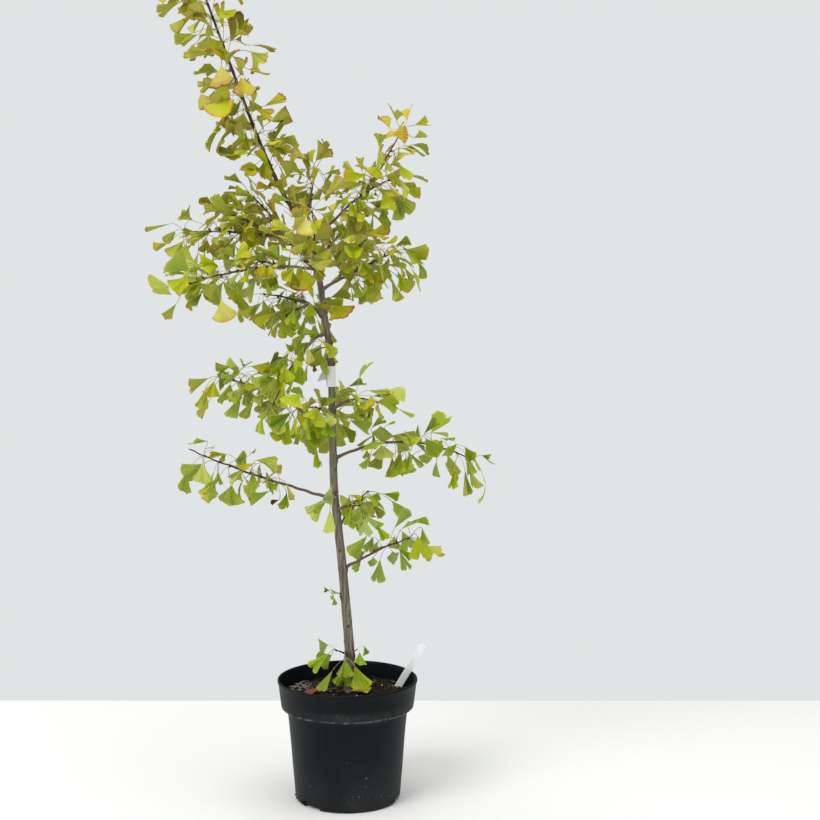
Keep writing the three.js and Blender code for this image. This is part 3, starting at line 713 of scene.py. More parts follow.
class Graph:
    """A material's nodes, written as expressions."""

    def __init__(self, name):
        self.material = bpy.data.materials.new(name)
        self.material.use_nodes = True
        self.tree = self.material.node_tree
        self.tree.nodes.clear()

    def add(self, kind, settings=None, inputs=None, output=0):
        """One node of any type: its settings first, then the values or links of its sockets."""
        node = self.tree.nodes.new(kind)
        for key, value in (settings or {}).items():
            setattr(node, key, value)
        for key, value in (inputs or {}).items():
            if isinstance(value, Value):
                self.tree.links.new(value.socket, node.inputs[key])
            else:
                node.inputs[key].default_value = value
        return Value(self, node.outputs[output])

    def math(self, operation, first, second=0.0):
        """One Math node."""
        return self.add("ShaderNodeMath", {"operation": operation}, {0: first, 1: second})

    def place(self):
        """Object coordinates, in metres."""
        return self.add("ShaderNodeTexCoord", output="Object")

    def axis(self, name):
        """One of the three object coordinates."""
        return self.add("ShaderNodeSeparateXYZ", None, {0: self.place()}, output=name)

    def attribute(self, name):
        """A float that is stored at the mesh's points."""
        return self.add("ShaderNodeAttribute", {"attribute_name": name}, output="Fac")

    def stretched(self, scale):
        """Object coordinates, each multiplied by its part of the scale."""
        return self.add("ShaderNodeMapping", None, {"Vector": self.place(), "Scale": scale})

    def noise(self, scale, detail, vector=None):
        """Soft noise with about so many blots to the metre."""
        values = {"Vector": vector or self.place(), "Scale": scale, "Detail": detail, "Roughness": 0.55}
        return self.add("ShaderNodeTexNoise", None, values)

    def rise(self, value, low, high):
        """0 where the value is below low, 1 above high and an eased rise between them."""
        settings = {"interpolation_type": "SMOOTHSTEP"}
        values = {"Value": value, "From Min": low, "From Max": high}
        return self.add("ShaderNodeMapRange", settings, values)

    def band(self, value, low, high, soft):
        """1 where the value is between low and high, with soft edges."""
        return self.rise(value, low - soft, low + soft) * (1.0 - self.rise(value, high - soft, high + soft))

    def mix(self, share, first, second):
        """The colour at a share of the way from the first to the second."""
        values = {0: share, 6: first, 7: second}
        return self.add("ShaderNodeMix", {"data_type": "RGBA"}, values, output=2)

    def bump(self, height, strength, distance):
        """A normal for a height of so many metres."""
        values = {"Height": height, "Strength": strength, "Distance": distance}
        return self.add("ShaderNodeBump", None, values)

    def finish(self, colour, roughness, specular, **others):
        """Ends the graph in one plain shader; other sockets are named with _ for each space."""
        sockets = {"Base Color": colour, "Roughness": roughness, "Specular IOR Level": specular}
        sockets.update((name.replace("_", " "), value) for name, value in others.items())
        shader = self.add("ShaderNodeBsdfPrincipled", None, sockets)
        output = self.tree.nodes.new("ShaderNodeOutputMaterial")
        self.tree.links.new(shader.socket, output.inputs["Surface"])
        return self.material


def solid_colour(text):
    """A shader colour from six hexadecimal digits, as they show on screen."""
    shown = [int(text[at : at + 2], 16) / 255 for at in (0, 2, 4)]
    return tuple(c / 12.92 if c <= 0.04045 else ((c + 0.055) / 1.055) ** 2.4 for c in shown) + (1.0,)


def colour_of(value):
    """A shader colour from a setting's three values."""
    return tuple(value) + (1.0,)


def blended(first, second, share):
    """The colour at a share of the way from the first to the second."""
    return tuple(a + (b - a) * share for a, b in zip(first, second))


# Colours that aren't among the settings.
SHADES = SimpleNamespace(
    # collar: painted shade, the pot's collar drawn darker than its body
    collar=solid_colour("03060b"),
    worn_plastic=solid_colour("6f7274"),
    pit=solid_colour("77797a"),
    moss=solid_colour("6e6e4e"),
    stain=solid_colour("6a4433"),
    young_streak=solid_colour("2f1b16"),
    young_speck=solid_colour("8a7264"),
    knot=solid_colour("2e211d"),
    twig_streak=solid_colour("472c24"),
    twig_speck=solid_colour("9a8573"),
    label_stain=solid_colour("c9cac4"),
    soil=solid_colour("6e5a48"),
    # painted shadow where the stem label's wing leaves its band
    painted_gap_shadow=solid_colour("3c3a38"),
    dead_stalk=solid_colour("7d6a45"),
    fallen=solid_colour("c8786a"),
)


def plastic_finish(settings):
    """Black moulded plastic, its collar drawn darker as painted shade, with dust low down that is partly a
    painted sheen of the floor's reflection, a worn edge under its collar and a few pits.
    """
    graph = Graph("pot_plastic")
    x, y, z = (graph.axis(name) for name in "XYZ")
    cloud = graph.noise(9.0, 5.0)
    grain = graph.noise(420.0, 4.0)
    # Paler towards the bottom: real dust, and partly a painted sheen where the floor would be reflected.
    low = 1.0 - graph.rise(z, 0.0, 0.11)
    under = graph.band(z, 0.152, 0.172, 0.006) * graph.rise(x - y, -0.02, 0.12)
    dust_and_sheen = (low * 0.34 + under * 0.9 + 0.03) * graph.rise(cloud, 0.3, 0.7) * graph.rise(grain, 0.15, 0.75)
    chips = graph.rise(graph.noise(75.0, 5.0), 0.42, 0.7)
    worn = graph.band(z, 0.1562, 0.1602, 0.0012) * chips
    pits = graph.add("ShaderNodeTexVoronoi", {"feature": "F1"}, {"Vector": graph.place(), "Scale": 85.0})
    spots = (1.0 - graph.rise(pits, 0.10, 0.16)) * graph.rise(graph.noise(16.0, 1.0), 0.60, 0.66)
    plastic, bloom = colour_of(settings.colour), colour_of(settings.dust_and_sheen)
    base = graph.mix(graph.rise(cloud, 0.3, 0.7), plastic, blended(plastic, bloom, 0.015))
    # Painted shade: the collar is drawn darker than the pot's body.
    base = graph.mix(graph.rise(z, 0.155, 0.165) * 0.9, base, SHADES.collar)
    base = graph.mix(graph.math("MINIMUM", dust_and_sheen * settings.bloom, 1.0), base, bloom)
    base = graph.mix(worn * 0.75, base, SHADES.worn_plastic)
    base = graph.mix(spots * 0.55, base, SHADES.pit)
    rough = 0.42 + cloud * 0.12 + dust_and_sheen * 0.35
    height = grain * 0.25 + cloud * 0.6 + spots * 0.5
    return graph.finish(base, rough, 0.14, Normal=graph.bump(height, 0.25, 0.0006))


def compost_finish(settings):
    """Moist peaty crumbs, with painted shade in their hollows."""
    graph = Graph("compost")
    lumps = graph.noise(130.0, 6.0)
    patches = graph.noise(22.0, 3.0)
    # Painted shade: the hollows between the crumbs are drawn dark, from the same noise that raises them.
    base = graph.mix(graph.rise(lumps, 0.35, 0.7), colour_of(settings.dark), colour_of(settings.light))
    base = graph.mix(graph.rise(patches, 0.45, 0.75) * 0.5, base, colour_of(settings.dark))
    return graph.finish(base, 0.85 + lumps * 0.15, 0.25, Normal=graph.bump(lumps, 0.8, 0.0015))


def chip_finish(name, colour):
    """One plain colour of bark chip, grit or root, with a coarse surface."""
    graph = Graph(name)
    grain = graph.noise(300.0, 4.0)
    return graph.finish(colour, 0.75 + grain * 0.2, 0.25, Normal=graph.bump(grain, 0.5, 0.0006))


def bark_finish(settings):
    """Grey-brown fissured bark below that turns to smooth dark purple-brown in the young leader."""
    graph = Graph("bark")
    z = graph.axis("Z")
    streaks = graph.noise(60.0, 6.0, graph.stretched((6.0, 6.0, 0.5)))
    fine = graph.noise(260.0, 4.0, graph.stretched((2.0, 2.0, 0.6)))
    patches = graph.noise(26.0, 3.0)
    old = graph.mix(graph.rise(streaks, 0.36, 0.64), colour_of(settings.fissure), colour_of(settings.old))
    old = graph.mix(graph.rise(patches, 0.52, 0.72) * 0.45, old, colour_of(settings.bloom))
    moss = graph.rise(patches + z * 0.12, 0.5, 0.66) * graph.band(z, 0.34, 0.86, 0.12)
    old = graph.mix(moss * 0.4, old, SHADES.moss)
    stain = graph.band(z, 0.729, 0.778, 0.004)
    old = graph.mix(stain * graph.rise(streaks, 0.4, 0.6) * 0.75, old, SHADES.stain)
    young = graph.mix(graph.rise(streaks, 0.3, 0.7), SHADES.young_streak, colour_of(settings.young))
    young = graph.mix(graph.rise(fine, 0.62, 0.72) * 0.6, young, SHADES.young_speck)
    age = 1.0 - graph.rise(z + patches * 0.05, 0.87, 1.0)
    base = graph.mix(age, young, old)
    base = graph.mix(graph.attribute("knot"), base, SHADES.knot)
    height = streaks * 0.7 + fine * 0.3
    return graph.finish(base, 0.72 + fine * 0.2, 0.3, Normal=graph.bump(height, 0.7, 0.0008))


def twig_finish(settings):
    """Dark purple-brown young wood, greyer towards the trunk, with fine pale specks."""
    graph = Graph("twig_bark")
    specks = graph.noise(420.0, 3.0)
    clouds = graph.noise(70.0, 3.0)
    young = graph.mix(clouds, SHADES.twig_streak, colour_of(settings.young))
    base = graph.mix(graph.attribute("age") * 0.75, young, colour_of(settings.twig))
    base = graph.mix(graph.rise(specks, 0.60, 0.70) * 0.5, base, SHADES.twig_speck)
    return graph.finish(base, 0.6 + clouds * 0.25, 0.35, Normal=graph.bump(specks, 0.5, 0.0004))


def leaf_finish(name, colour, roughness):
    """One plain tint of leaf: a waxy skin whose fine veins fan out from the petiole."""
    graph = Graph(name)
    sheet = graph.add("ShaderNodeUVMap", {"uv_map": "sheet"})
    across = graph.add("ShaderNodeSeparateXYZ", None, {0: sheet}, output="X")
    veins = graph.math("SINE", across * 190.0)
    mottle = graph.noise(160.0, 3.0)
    return graph.finish(
        colour,
        roughness + mottle * 0.15,
        0.36,
        Subsurface_Weight=0.2,
        Subsurface_Radius=(0.9, 1.0, 0.25),
        Subsurface_Scale=0.0012,
        Normal=graph.bump(veins * 0.5 + mottle, 0.3, 0.00015),
    )


def stalk_finish(name, colour):
    """A plain, slightly waxy stalk."""
    graph = Graph(name)
    return graph.finish(colour, 0.5 + graph.noise(200.0, 2.0) * 0.2, 0.35)


def label_finish(name, colour):
    """Sheet plastic, a little soiled, with nothing printed on it."""
    graph = Graph(name)
    z = graph.axis("Z")
    stain = graph.noise(60.0, 4.0)
    soil = (1.0 - graph.rise(z, 0.174, 0.183)) * graph.rise(stain, 0.35, 0.6)
    base = graph.mix(graph.rise(stain, 0.5, 0.8) * 0.12, colour, SHADES.label_stain)
    base = graph.mix(soil * 0.8, base, SHADES.soil)
    return graph.finish(base, 0.38 + stain * 0.15, 0.45)


def floor_finish(name, colour):
    """Plain pale matt board."""
    graph = Graph(name)
    return graph.finish(colour, 0.7 + graph.noise(3.0, 2.0) * 0.1, 0.2)


# ------------------------------------------------------------------ the pot


def pot_profile(height):
    """The pot's outline from the middle of its underside, up outside, over the rim and down inside."""
    base, bend, shoulder = POT.base_radius, POT.base_round, POT.shoulder_radius
    collar, rim, floor = POT.collar_radius, POT.rim_radius, POT.floor
    lower = height - POT.collar_height - POT.collar_step
    upper = height - POT.collar_height + POT.collar_step
    turns = np.radians([25, 50, 70, 90])
    body_heights = (7.5, 8.5, 9.5, 10.5, 11.5, 13, 17, 24, 40, 62, 86, 110, 130, 143, 150, lower - 1.4)
    collar_start, collar_end = collar + 0.2, rim - 1.4
    slope = (collar_end - collar_start) / (height - 6 - upper)
    stretches = dict(
        underside=[(20, 0.6), (50, 0.6), (70, 0.6), (base - 12, 0.5)],
        foot=[(base - 9, 0.0), (base - 6.5, 0.0)],
        corner=[(base - bend + bend * math.sin(turn), bend - bend * math.cos(turn)) for turn in turns],
        body=[(base + (shoulder - base) * (z - bend) / (lower - bend), z) for z in body_heights],
        step=[(shoulder + 0.3, lower - 0.4), (shoulder + 1.6, lower + 0.7), (collar - 2.4, upper - 1.6)],
        step_edge=[(collar - 0.8, upper - 1.3), (collar, upper - 0.4), (collar_start, upper + 0.8)],
        collar=[(collar_start + slope * (z - upper), z) for z in (162, 170, 180, 190, height - 6.4)],
        lip=[(rim - 1.1, height - 5.6), (rim - 0.3, height - 5.0), (rim, height - 4.0), (rim, height - 1.8)],
        top=[(rim - 0.4, height - 0.6), (rim - 1.2, height), (rim - 2.4, height - 0.1)],
        turn=[(rim - 3.1, height - 0.9), (rim - 3.5, height - 4)],
        inside=[(rim - 5.6, height - 16), (rim - 8.1, height - 34), (rim - 9.1, upper)],
        down=[(shoulder - 2, lower), (base - 2.8, floor + 4), (base - 6, floor), (30, floor)],
    )
    return np.array([point for stretch in stretches.values() for point in stretch])


def pot_skin(height, sides, unevenness):
    """The profile turned round, pushed inwards inside each notch's arch and a little uneven."""
    profile = pot_profile(height)
    angle = np.linspace(0, 2 * np.pi, sides, endpoint=False)
    radius = np.repeat(profile[:, :1], sides, axis=1)
    z = np.repeat(profile[:, 1:], sides, axis=1)
    outside = (np.arange(len(profile)) < np.argmax(profile[:, 1])) & (profile[:, 0] > 72)
    for notch in range(POT.notches):
        middle = math.radians(POT.notch_heading + notch * 360 / POT.notches)
        off = np.abs((angle - middle + np.pi) % (2 * np.pi) - np.pi) * POT.base_radius
        half = POT.notch_width / 2
        side = 1 - smooth(half - 2.2, half + 0.4, off + 0 * z)
        rounded = POT.notch_height * (1 - 0.45 * np.clip((off - half * 0.6) / (half * 0.4), 0, 1) ** 2)
        roof = 1 - smooth(rounded - 1.0, rounded + 1.0, z)
        radius = radius - outside[:, None] * POT.notch_depth * side * roof
    points = np.stack([radius * np.cos(angle), radius * np.sin(angle), z], -1)
    wobble = noise(points, 55, 3) - 0.5 + 0.4 * (noise(points, 21, 4) - 0.5)
    out = points * [1, 1, 0] / np.maximum(radius, 1)[..., None]
    points = points + out * (wobble * unevenness * smooth(60, 85, radius))[..., None]
    ends = np.array([[[0, 0, 0.6]], [[0, 0, POT.floor]]])
    return closed_skins(points[None], ends[0], ends[1])


# ------------------------------------------------------------------ the compost and what lies on it


def lumps(x, y, size, seed):
    """Heights of round crumbs: one at a random place in each cell of a grid, as high as its ball stands."""
    cell_x, cell_y = np.floor(x / size), np.floor(y / size)
    height = np.zeros_like(x)
    for step_x, step_y in itertools.product((-1, 0, 1), repeat=2):
        at_x, at_y = cell_x + step_x, cell_y + step_y
        centre_x = (at_x + chance(at_x, at_y, 1, seed)) * size
        centre_y = (at_y + chance(at_x, at_y, 2, seed)) * size
        radius = size * (0.3 + 0.4 * chance(at_x, at_y, 3, seed))
        ball = radius**2 - (x - centre_x) ** 2 - (y - centre_y) ** 2
        height = np.maximum(height, np.sqrt(np.maximum(ball, 0)))
    return height


def compost_top(x, y):
    """The compost's height: a low mound, gentle rises and hollows, and two sizes of crumb."""
    radii = (COMPOST.mound_radius, (COMPOST.mound_radius + COMPOST.wall) / 2, COMPOST.wall)
    heights = (COMPOST.crown, (COMPOST.crown + COMPOST.edge) / 2, COMPOST.edge)
    mound = np.interp(np.hypot(x, y), radii, heights)
    flat = np.stack([x, y, np.zeros_like(x)], -1)
    rolling = (noise(flat, 24, 11) - 0.5) * 5 + (noise(flat, 9, 12) - 0.5) * 2.4
    return mound - 1.2 + rolling + lumps(x, y, 4.2, 21) * 0.75 + lumps(x, y, 9.5, 22) * 0.45


def compost_skin(rows, sides):
    """A polar grid for the top, over a plain side that follows the inside of the pot down to its floor."""
    wall = COMPOST.wall - COMPOST.gap
    under = POT.floor + COMPOST.gap
    side = [(40, under), (80, under), (84.6, 8), (97.4, 152.0), (106.6, 159.5), (wall, COMPOST.edge - 3)]
    angle = np.linspace(0, 2 * np.pi, sides, endpoint=False)
    top = wall * (1 - np.linspace(0, 1, rows + 1)[:-1] ** 1.15)
    x, y = top[:, None] * np.cos(angle), top[:, None] * np.sin(angle)
    lower = [np.stack([r * np.cos(angle), r * np.sin(angle), np.full(sides, z)], -1) for r, z in side]
    rings = np.concatenate([np.array(lower), np.stack([x, y, compost_top(x, y)], -1)])
    return closed_skins(rings[None], np.array([[0, 0, under]]), on_compost(np.zeros((1, 2))))


def on_compost(places):
    """Points on the compost at pairs of x and y."""
    x, y = places[:, 0], places[:, 1]
    return np.stack([x, y, compost_top(x, y)], -1)


def scatter(count, seed, inner=12, outer=103):
    """Random places on the compost, even over its area."""
    number = np.arange(count)
    angle = 2 * np.pi * chance(number, 1, 1, seed)
    radius = np.sqrt(between((inner**2, outer**2), chance(number, 2, 1, seed)))
    return on_compost(np.stack([radius * np.cos(angle), radius * np.sin(angle)], -1))


def chips(places, sizes, seed, tilt=0.5):
    """Rough slabs: a box whose corners are moved a little, turned by a random heading and tilt."""
    count = len(places)
    corner = np.array(list(itertools.product((-0.5, 0.5), repeat=3)))
    number = np.arange(count)[:, None]
    jitter = np.stack([chance(number, np.arange(8)[None], axis, seed) - 0.5 for axis in (1, 2, 3)], -1)
    shape = (corner + jitter * 0.45) * sizes[:, None, :]
    heading = 2 * np.pi * chance(np.arange(count), 4, 4, seed)
    lean = tilt * (chance(np.arange(count), 5, 5, seed) - 0.5) * 2
    along = np.stack([np.cos(heading) * np.cos(lean), np.sin(heading) * np.cos(lean), np.sin(lean)], -1)
    side = np.stack([-np.sin(heading), np.cos(heading), np.zeros(count)], -1)
    axes = np.stack([along, side, np.cross(along, side)], axis=1)
    points = places[:, None] + np.einsum("nca,nad->ncd", shape, axes)
    faces = np.array([(0, 1, 3, 2), (4, 6, 7, 5), (0, 4, 5, 1), (2, 3, 7, 6), (0, 2, 6, 4), (1, 5, 7, 3)])
    return points.reshape(-1, 3), repeat_faces(faces, count, 8)


def threads(places, lengths, radius, seed, lift=1.5):
    """Fine roots: bent tubes that lie along the compost, each turning steadily as it goes."""
    count, steps = len(places), 7
    number = np.arange(count)
    heading = 2 * np.pi * chance(number, 1, 2, seed)[:, None]
    bend = (chance(number, 2, 2, seed)[:, None] - 0.5) * 3.2
    share = np.linspace(0, 1, steps)[None]
    turned = heading + bend * share
    step = lengths[:, None] / (steps - 1)
    x = places[:, :1] + np.cumsum(np.cos(turned) * step, axis=1)
    y = places[:, 1:2] + np.cumsum(np.sin(turned) * step, axis=1)
    inside = np.minimum(1, 103 / np.hypot(x, y))
    x, y = x * inside, y * inside
    arch = lift * (0.4 + chance(number, 3, 2, seed)[:, None]) * np.sin(np.pi * share)
    start = compost_top(places[:, 0], places[:, 1])[:, None]
    paths = np.stack([x, y, compost_top(x, y) * 0.5 + start * 0.5 + arch], -1)
    taper = np.array([0.7, 1, 1, 1, 0.9, 0.7, 0.35])
    return tubes(paths, radius[:, None] * taper, 4)


# ------------------------------------------------------------------ trunk, boughs, twigs and spurs


def trunk_skin(plans, settings):
    """Rings square to the stem's line from the compost to the leader's tip, 34 points round each.

    The radius is the trunk's, times flutes that run up it, plus lobes at the foot, a collar under
    each bough, a swelling at each of the leader's spurs, knots, and fissures of stretched noise.
    """
    sides = 34
    heights = np.concatenate([np.linspace(179, 215, 40), np.linspace(215, TRUNK.leader_tip - 1, 610)[1:]])
    path = trunk_at(heights)
    angle = np.linspace(0, 2 * np.pi, sides, endpoint=False)
    h, a = np.meshgrid(heights, angle, indexing="ij")
    old = 1 - smooth(820, 980, h)
    relief = 1 + old * (0.035 * np.cos(3 * a + h / 120) + 0.022 * np.cos(5 * a - h / 70))
    relief += np.exp((COMPOST.crown - h) / 9) * 0.16 * np.cos(4 * a + 0.8)
    knot = np.zeros_like(h)

    # a collar under each bough and each bare knot: height, heading, how tall, wide, high and dark
    bosses = [(plan.foot - 1, plan.heading, 5.5, 0.7, 0.26, 0.55) for plan in plans[:-1]]
    bosses += [(height, heading, size * 1.3, size / 6.5, out, 1.0) for height, heading, size, out in KNOTS]
    for height, heading, tall, wide, high, dark in bosses:
        off = np.abs((a - math.radians(heading) + np.pi) % (2 * np.pi) - np.pi)
        shape = np.exp(-(((h - height) / tall) ** 2) - (off / wide) ** 2)
        relief += shape * high
        knot = np.maximum(knot, shape * dark)
    for spur in plans[-1].spurs:
        relief += 0.22 * np.exp(-(((h - spur.at[2]) / 3.2) ** 2))
    for ring in np.arange(300, 940, 83.0):
        relief += 0.035 * np.exp(-(((h - ring - 20 * chance(ring, 1, 1, 1)) / 4) ** 2))
    around = np.stack([np.cos(a), np.sin(a), np.zeros_like(a)], -1) * 8
    spot = around + np.stack([h * 0, h * 0, h * 0.13], -1)
    cracks = np.abs(noise(spot, 2.3, 5) - 0.5) * 2
    fine = noise(spot * [1, 1, 2.0], 1.1, 6)
    depth = settings.relief / MM * (0.35 + 0.65 * old)
    radius = trunk_radius(h)
    relief += ((cracks - 0.5) * 0.9 + (fine - 0.5) * 0.5) * depth / radius
    points, faces = tubes(path[None], trunk_radius(heights)[None], sides, relief[None])
    return points, faces, np.concatenate([knot.ravel(), [0, 0]])


def twig_paths(line, length, key, swing):
    """A stem's line with a slight zigzag: each point is moved square to it by stretched noise."""
    steps = max(8, int(length / 3.2))
    share = np.linspace(0, 1, steps)
    path = line.point(share)
    tangent = unit(np.gradient(path, axis=0))
    upper, side = square_to(tangent)
    run = np.stack([share * length, np.full(steps, key * 31.7), np.zeros(steps)], -1)
    ease = smooth(0, 0.12, share) * swing
    path = path + upper * ((noise(run, 13, 31) - 0.5) * ease)[:, None]
    return share, path + side * ((noise(run, 13, 32) - 0.5) * ease)[:, None]


def twig_skins(plans):
    """Every stem as a tapering tube with a flared root, a swelling at each spur and a pointed tip."""
    lots, ages = [], []

    def add(line, thick, fork, spurs, key, scale=1.0):
        length = line.length()
        share, path = twig_paths(line, length, key, 2.2 * scale)
        radius = between((STEM.bough_radius, STEM.tip_radius), between(thick, share) ** 0.75) * scale
        flare, flare_length = (0.2, 4.0) if fork else (0.45, 10.0)
        radius = radius * (1 + flare * np.exp(-((share * length / flare_length) ** 2)))
        for spur in spurs:
            at = np.argmin(np.linalg.norm(path - spur.at, axis=1))
            if np.linalg.norm(path[at] - spur.at) < 5:
                away = (share - share[at]) * length
                radius = radius * (1 + 0.28 * np.exp(-((away / 2.4) ** 2)))
        rough = noise(np.stack([share * length, np.full(len(share), key * 13.1), share * 0], -1), 5, 33)
        radius = radius * (0.94 + 0.12 * rough)
        radius = radius * np.clip((1 - share) * length / 2.5, 0.25, 1) ** 0.6
        lots.append(tubes(path[None], radius[None], STEM.sides))
        ages.append(np.concatenate([np.repeat(1 - smooth(0.0, 0.75, share), STEM.sides), [1, 0]]))

    for plan in plans[:-1]:
        for order, stem in enumerate(plan.stems):
            small = min(1.0, plan.scale + 0.15)
            add(stem.line, stem.thick, stem.fork, plan.spurs, plan.index + order / 4, small)
    foot, *way = DEAD_TWIG
    add(bough_line(trunk_at(foot), *way), (0.6, 1), False, [], 60.5, 0.8)
    points, faces, _ = join(lots)
    return points, faces, np.concatenate(ages)


def spur_skins(plans):
    """Short knobs that lean out from the stems: a waisted profile carried along each spur's line.

    The third value is each face's material: 0 for the spur and 1 for the bud at its end.
    """
    roots, lines, sizes, tall = [], [], [], []
    for plan in plans:
        for spur in plan.spurs:
            roots.append(spur.at)
            lines.append(spur.line)
            sizes.append(min(1.0, plan.scale + 0.1))
            tall.append(spur_length(plan, spur))
    roots, lines, sizes, tall = map(np.array, (roots, lines, sizes, tall))
    along = np.array([-0.1, 0.25, 0.45, 0.6, 0.78, 0.9, 1.05, 1.2])
    girth = np.array([1.5, 1.75, 1.45, 1.75, 1.5, 1.7, 1.25, 0.45])
    paths = roots[:, None] + lines[:, None] * (along * tall[:, None])[..., None]
    wobble = 0.88 + 0.24 * chance(np.arange(len(roots))[:, None], np.arange(len(along))[None], 3, 9)
    points, faces = tubes(paths, girth * sizes[:, None] * wobble, SPUR.sides)
    rows, sides = len(along), SPUR.sides
    ring = np.repeat(np.append(np.arange(rows - 1), [-1, rows]), sides)
    return points, faces, (np.tile(ring, len(roots)) >= SPUR.bud_ring).astype(int)


# ------------------------------------------------------------------ leaves


def blade_template():
    """Faces of one closed blade, with each face's row, column and side (0 above, 1 below).

    Point 0 is the foot of the fan, then the upper sheet row by row, then the lower sheet's points
    that aren't on its outline, because both sheets share the outline.
    """
    rows, columns = len(BLADE.rows), BLADE.columns
    upper = 1 + np.arange(rows * columns).reshape(rows, columns)
    lower = upper.copy()
    inner = 1 + rows * columns + np.arange((rows - 1) * (columns - 2))
    lower[:-1, 1:-1] = inner.reshape(rows - 1, columns - 2)
    faces, places = [], []
    for side, column in itertools.product((0, 1), range(columns - 1)):
        sheet = (upper, lower)[side]
        first, second = sheet[0, column : column + 2]
        faces.append((0, first, second, -1) if side == 0 else (0, second, first, -1))
        places.append((0, column, side))
        for row in range(rows - 1):
            a, b = sheet[row, column : column + 2]
            d, c = sheet[row + 1, column : column + 2]
            faces.append((a, d, c, b) if side == 0 else (a, b, c, d))
            places.append((row + 1, column, side))
    return np.array(faces), *np.array(places).T


def blade_points(leaves, settings):
    """Points of every fan, and its flat coordinates.

    A point is a share r of the way out and a share a of the half opening to either side. The way out
    is cut back at the margin by round corners, a cleft in some, and teeth. The fan is then folded
    about its middle, rolled down towards its margin, waved and twisted.
    """
    a = np.linspace(-1, 1, BLADE.columns)[None, None, :]
    r = BLADE.rows[None, :, None]
    draw = {what: chance(leaves.seed, what, 3, 7)[:, None, None] for what in range(1, 12)}
    column = np.arange(BLADE.columns)[None, None, :]
    ridge = np.where(column % 2 == 0, 1, -1)
    tooth = chance(leaves.seed[:, None, None], column, 5, 3) - 0.5 + 0.12 * ridge
    tooth = tooth * 0.6 + 0.2 * (np.roll(tooth, 1, -1) + np.roll(tooth, -1, -1))
    tooth = tooth * between(BLADE.teeth, draw[11])
    cleft = np.where(draw[1] < BLADE.clefts, between(BLADE.cleft, draw[2]), 0.0)
    margin = 1.02 - 0.08 * a**6 - cleft * np.exp(-((a / BLADE.cleft_width) ** 2)) + settings.teeth * tooth
    margin = margin - 0.08 * (draw[3] - 0.5) * a
    reach = r * (1 - (1 - margin) * r**3)
    opening = leaves.opening[:, None, None]
    length = (leaves.length * leaves.full)[:, None, None] * settings.fullness
    flatter = np.asarray(leaves.fold, float)[:, None, None]
    angle = opening * a * (0.8 + 0.2 * r)
    along = length * reach * np.cos(angle)
    across = length * reach * np.sin(angle)
    fold = np.radians(between(BLADE.fold, draw[4] ** 1.3) * settings.fold) * flatter
    lift = (np.sqrt(across**2 + 1.5) - 1.2) * np.sin(fold)
    across = across * np.cos(fold)
    curl = between(BLADE.curl, draw[5]) * settings.curl * (0.3 + 0.7 * flatter)
    wave = between(BLADE.wave, draw[6]) * np.sin(a * between(BLADE.waves, draw[7]) + 6.3 * draw[8])
    twist = (draw[9] - 0.5) * BLADE.twist
    pleat = settings.pleats * between(BLADE.pleats, draw[10]) * ridge * (1 - a**8)
    lift = lift + length * (pleat * r + wave * r**2 - curl * r**2 + twist * a * r**1.5 * np.sin(opening))
    along = along * (1 - 0.5 * curl * r)
    normal = np.cross(leaves.blade, leaves.rolled)

    def spread(numbers, directions):
        return numbers[..., None] * directions[:, None, None, :]

    upper = leaves.apex[:, None, None] + spread(along, leaves.blade) + spread(across, leaves.rolled)
    upper = upper + spread(lift, normal)
    lower = upper[:, :-1, 1:-1] - normal[:, None, None] * settings.thickness / MM
    count = len(leaves.seed)
    sheets = [leaves.apex[:, None], upper.reshape(count, -1, 3), lower.reshape(count, -1, 3)]
    flat = np.stack(np.broadcast_arrays(a[0] * 0.5 + 0.5, r[0]), -1)
    flat = np.concatenate([[[0.5, 0.0]], flat.reshape(-1, 2), flat[:-1, 1:-1].reshape(-1, 2)])
    return np.concatenate(sheets, axis=1), flat


def upright(leaves):
    """Turns each fan so that its upper side faces up and away from its spur, and some to the front."""
    normal = np.cross(leaves.blade, leaves.rolled)
    facing = dot(normal, leaves.petiole * 0.7 + UP)
    leaves.rolled = np.where(facing < 0, -leaves.rolled, leaves.rolled)
    to_front = unit(np.cross(np.array([0.0, -1.0, 0.35]), leaves.blade))
    share = np.asarray(leaves.face, float)[:, None]
    leaves.rolled = unit(leaves.rolled * (1 - share) + to_front * share)


def tints_of(leaves, template, settings):
    """The tint of each face of each leaf, from 0 (green) to 7 (brown).

    It turns with the leaf's height, its spray, its spur and the leaf itself, then towards the margin,
    and in some leaves down one side.
    """
    _, rows, columns, _ = template
    height = leaves.apex[:, 2]
    heights, shares = zip(*TURNED)
    turned = np.interp(height, heights, shares) * settings.turning
    turned = turned + 0.16 * (chance(leaves.mass, 1, 4, 1) - 0.5)
    turned = turned + 0.14 * (chance(leaves.mass, leaves.spur, 4, 2) - 0.5)
    lone = chance(leaves.seed, 1, 4, 3)
    turned = turned + 0.2 * (lone - 0.5) + 0.1 * smooth(0.9, 1.0, lone)
    edge = between((0.0, 0.3), chance(leaves.seed, 2, 4, 4) ** 1.5) + 0.13 * smooth(520, 1000, height)
    out = np.array([-0.1, -0.04, 0.25, 1.0])[rows]
    face = turned[:, None] + edge[:, None] * out[None]
    sided = (chance(leaves.seed, 3, 4, 5) < 0.3) * np.sign(chance(leaves.seed, 4, 4, 6) - 0.5)
    middle = (BLADE.columns - 2) / 2
    face = face + 0.2 * np.maximum(sided[:, None] * ((columns - middle) / middle)[None], 0)
    patch = chance(leaves.seed[:, None], columns[None] // 2, rows[None] // 2, 8) - 0.5
    face = face + 0.07 * patch
    return np.clip(np.floor(face * 8), 0, 7).astype(int)


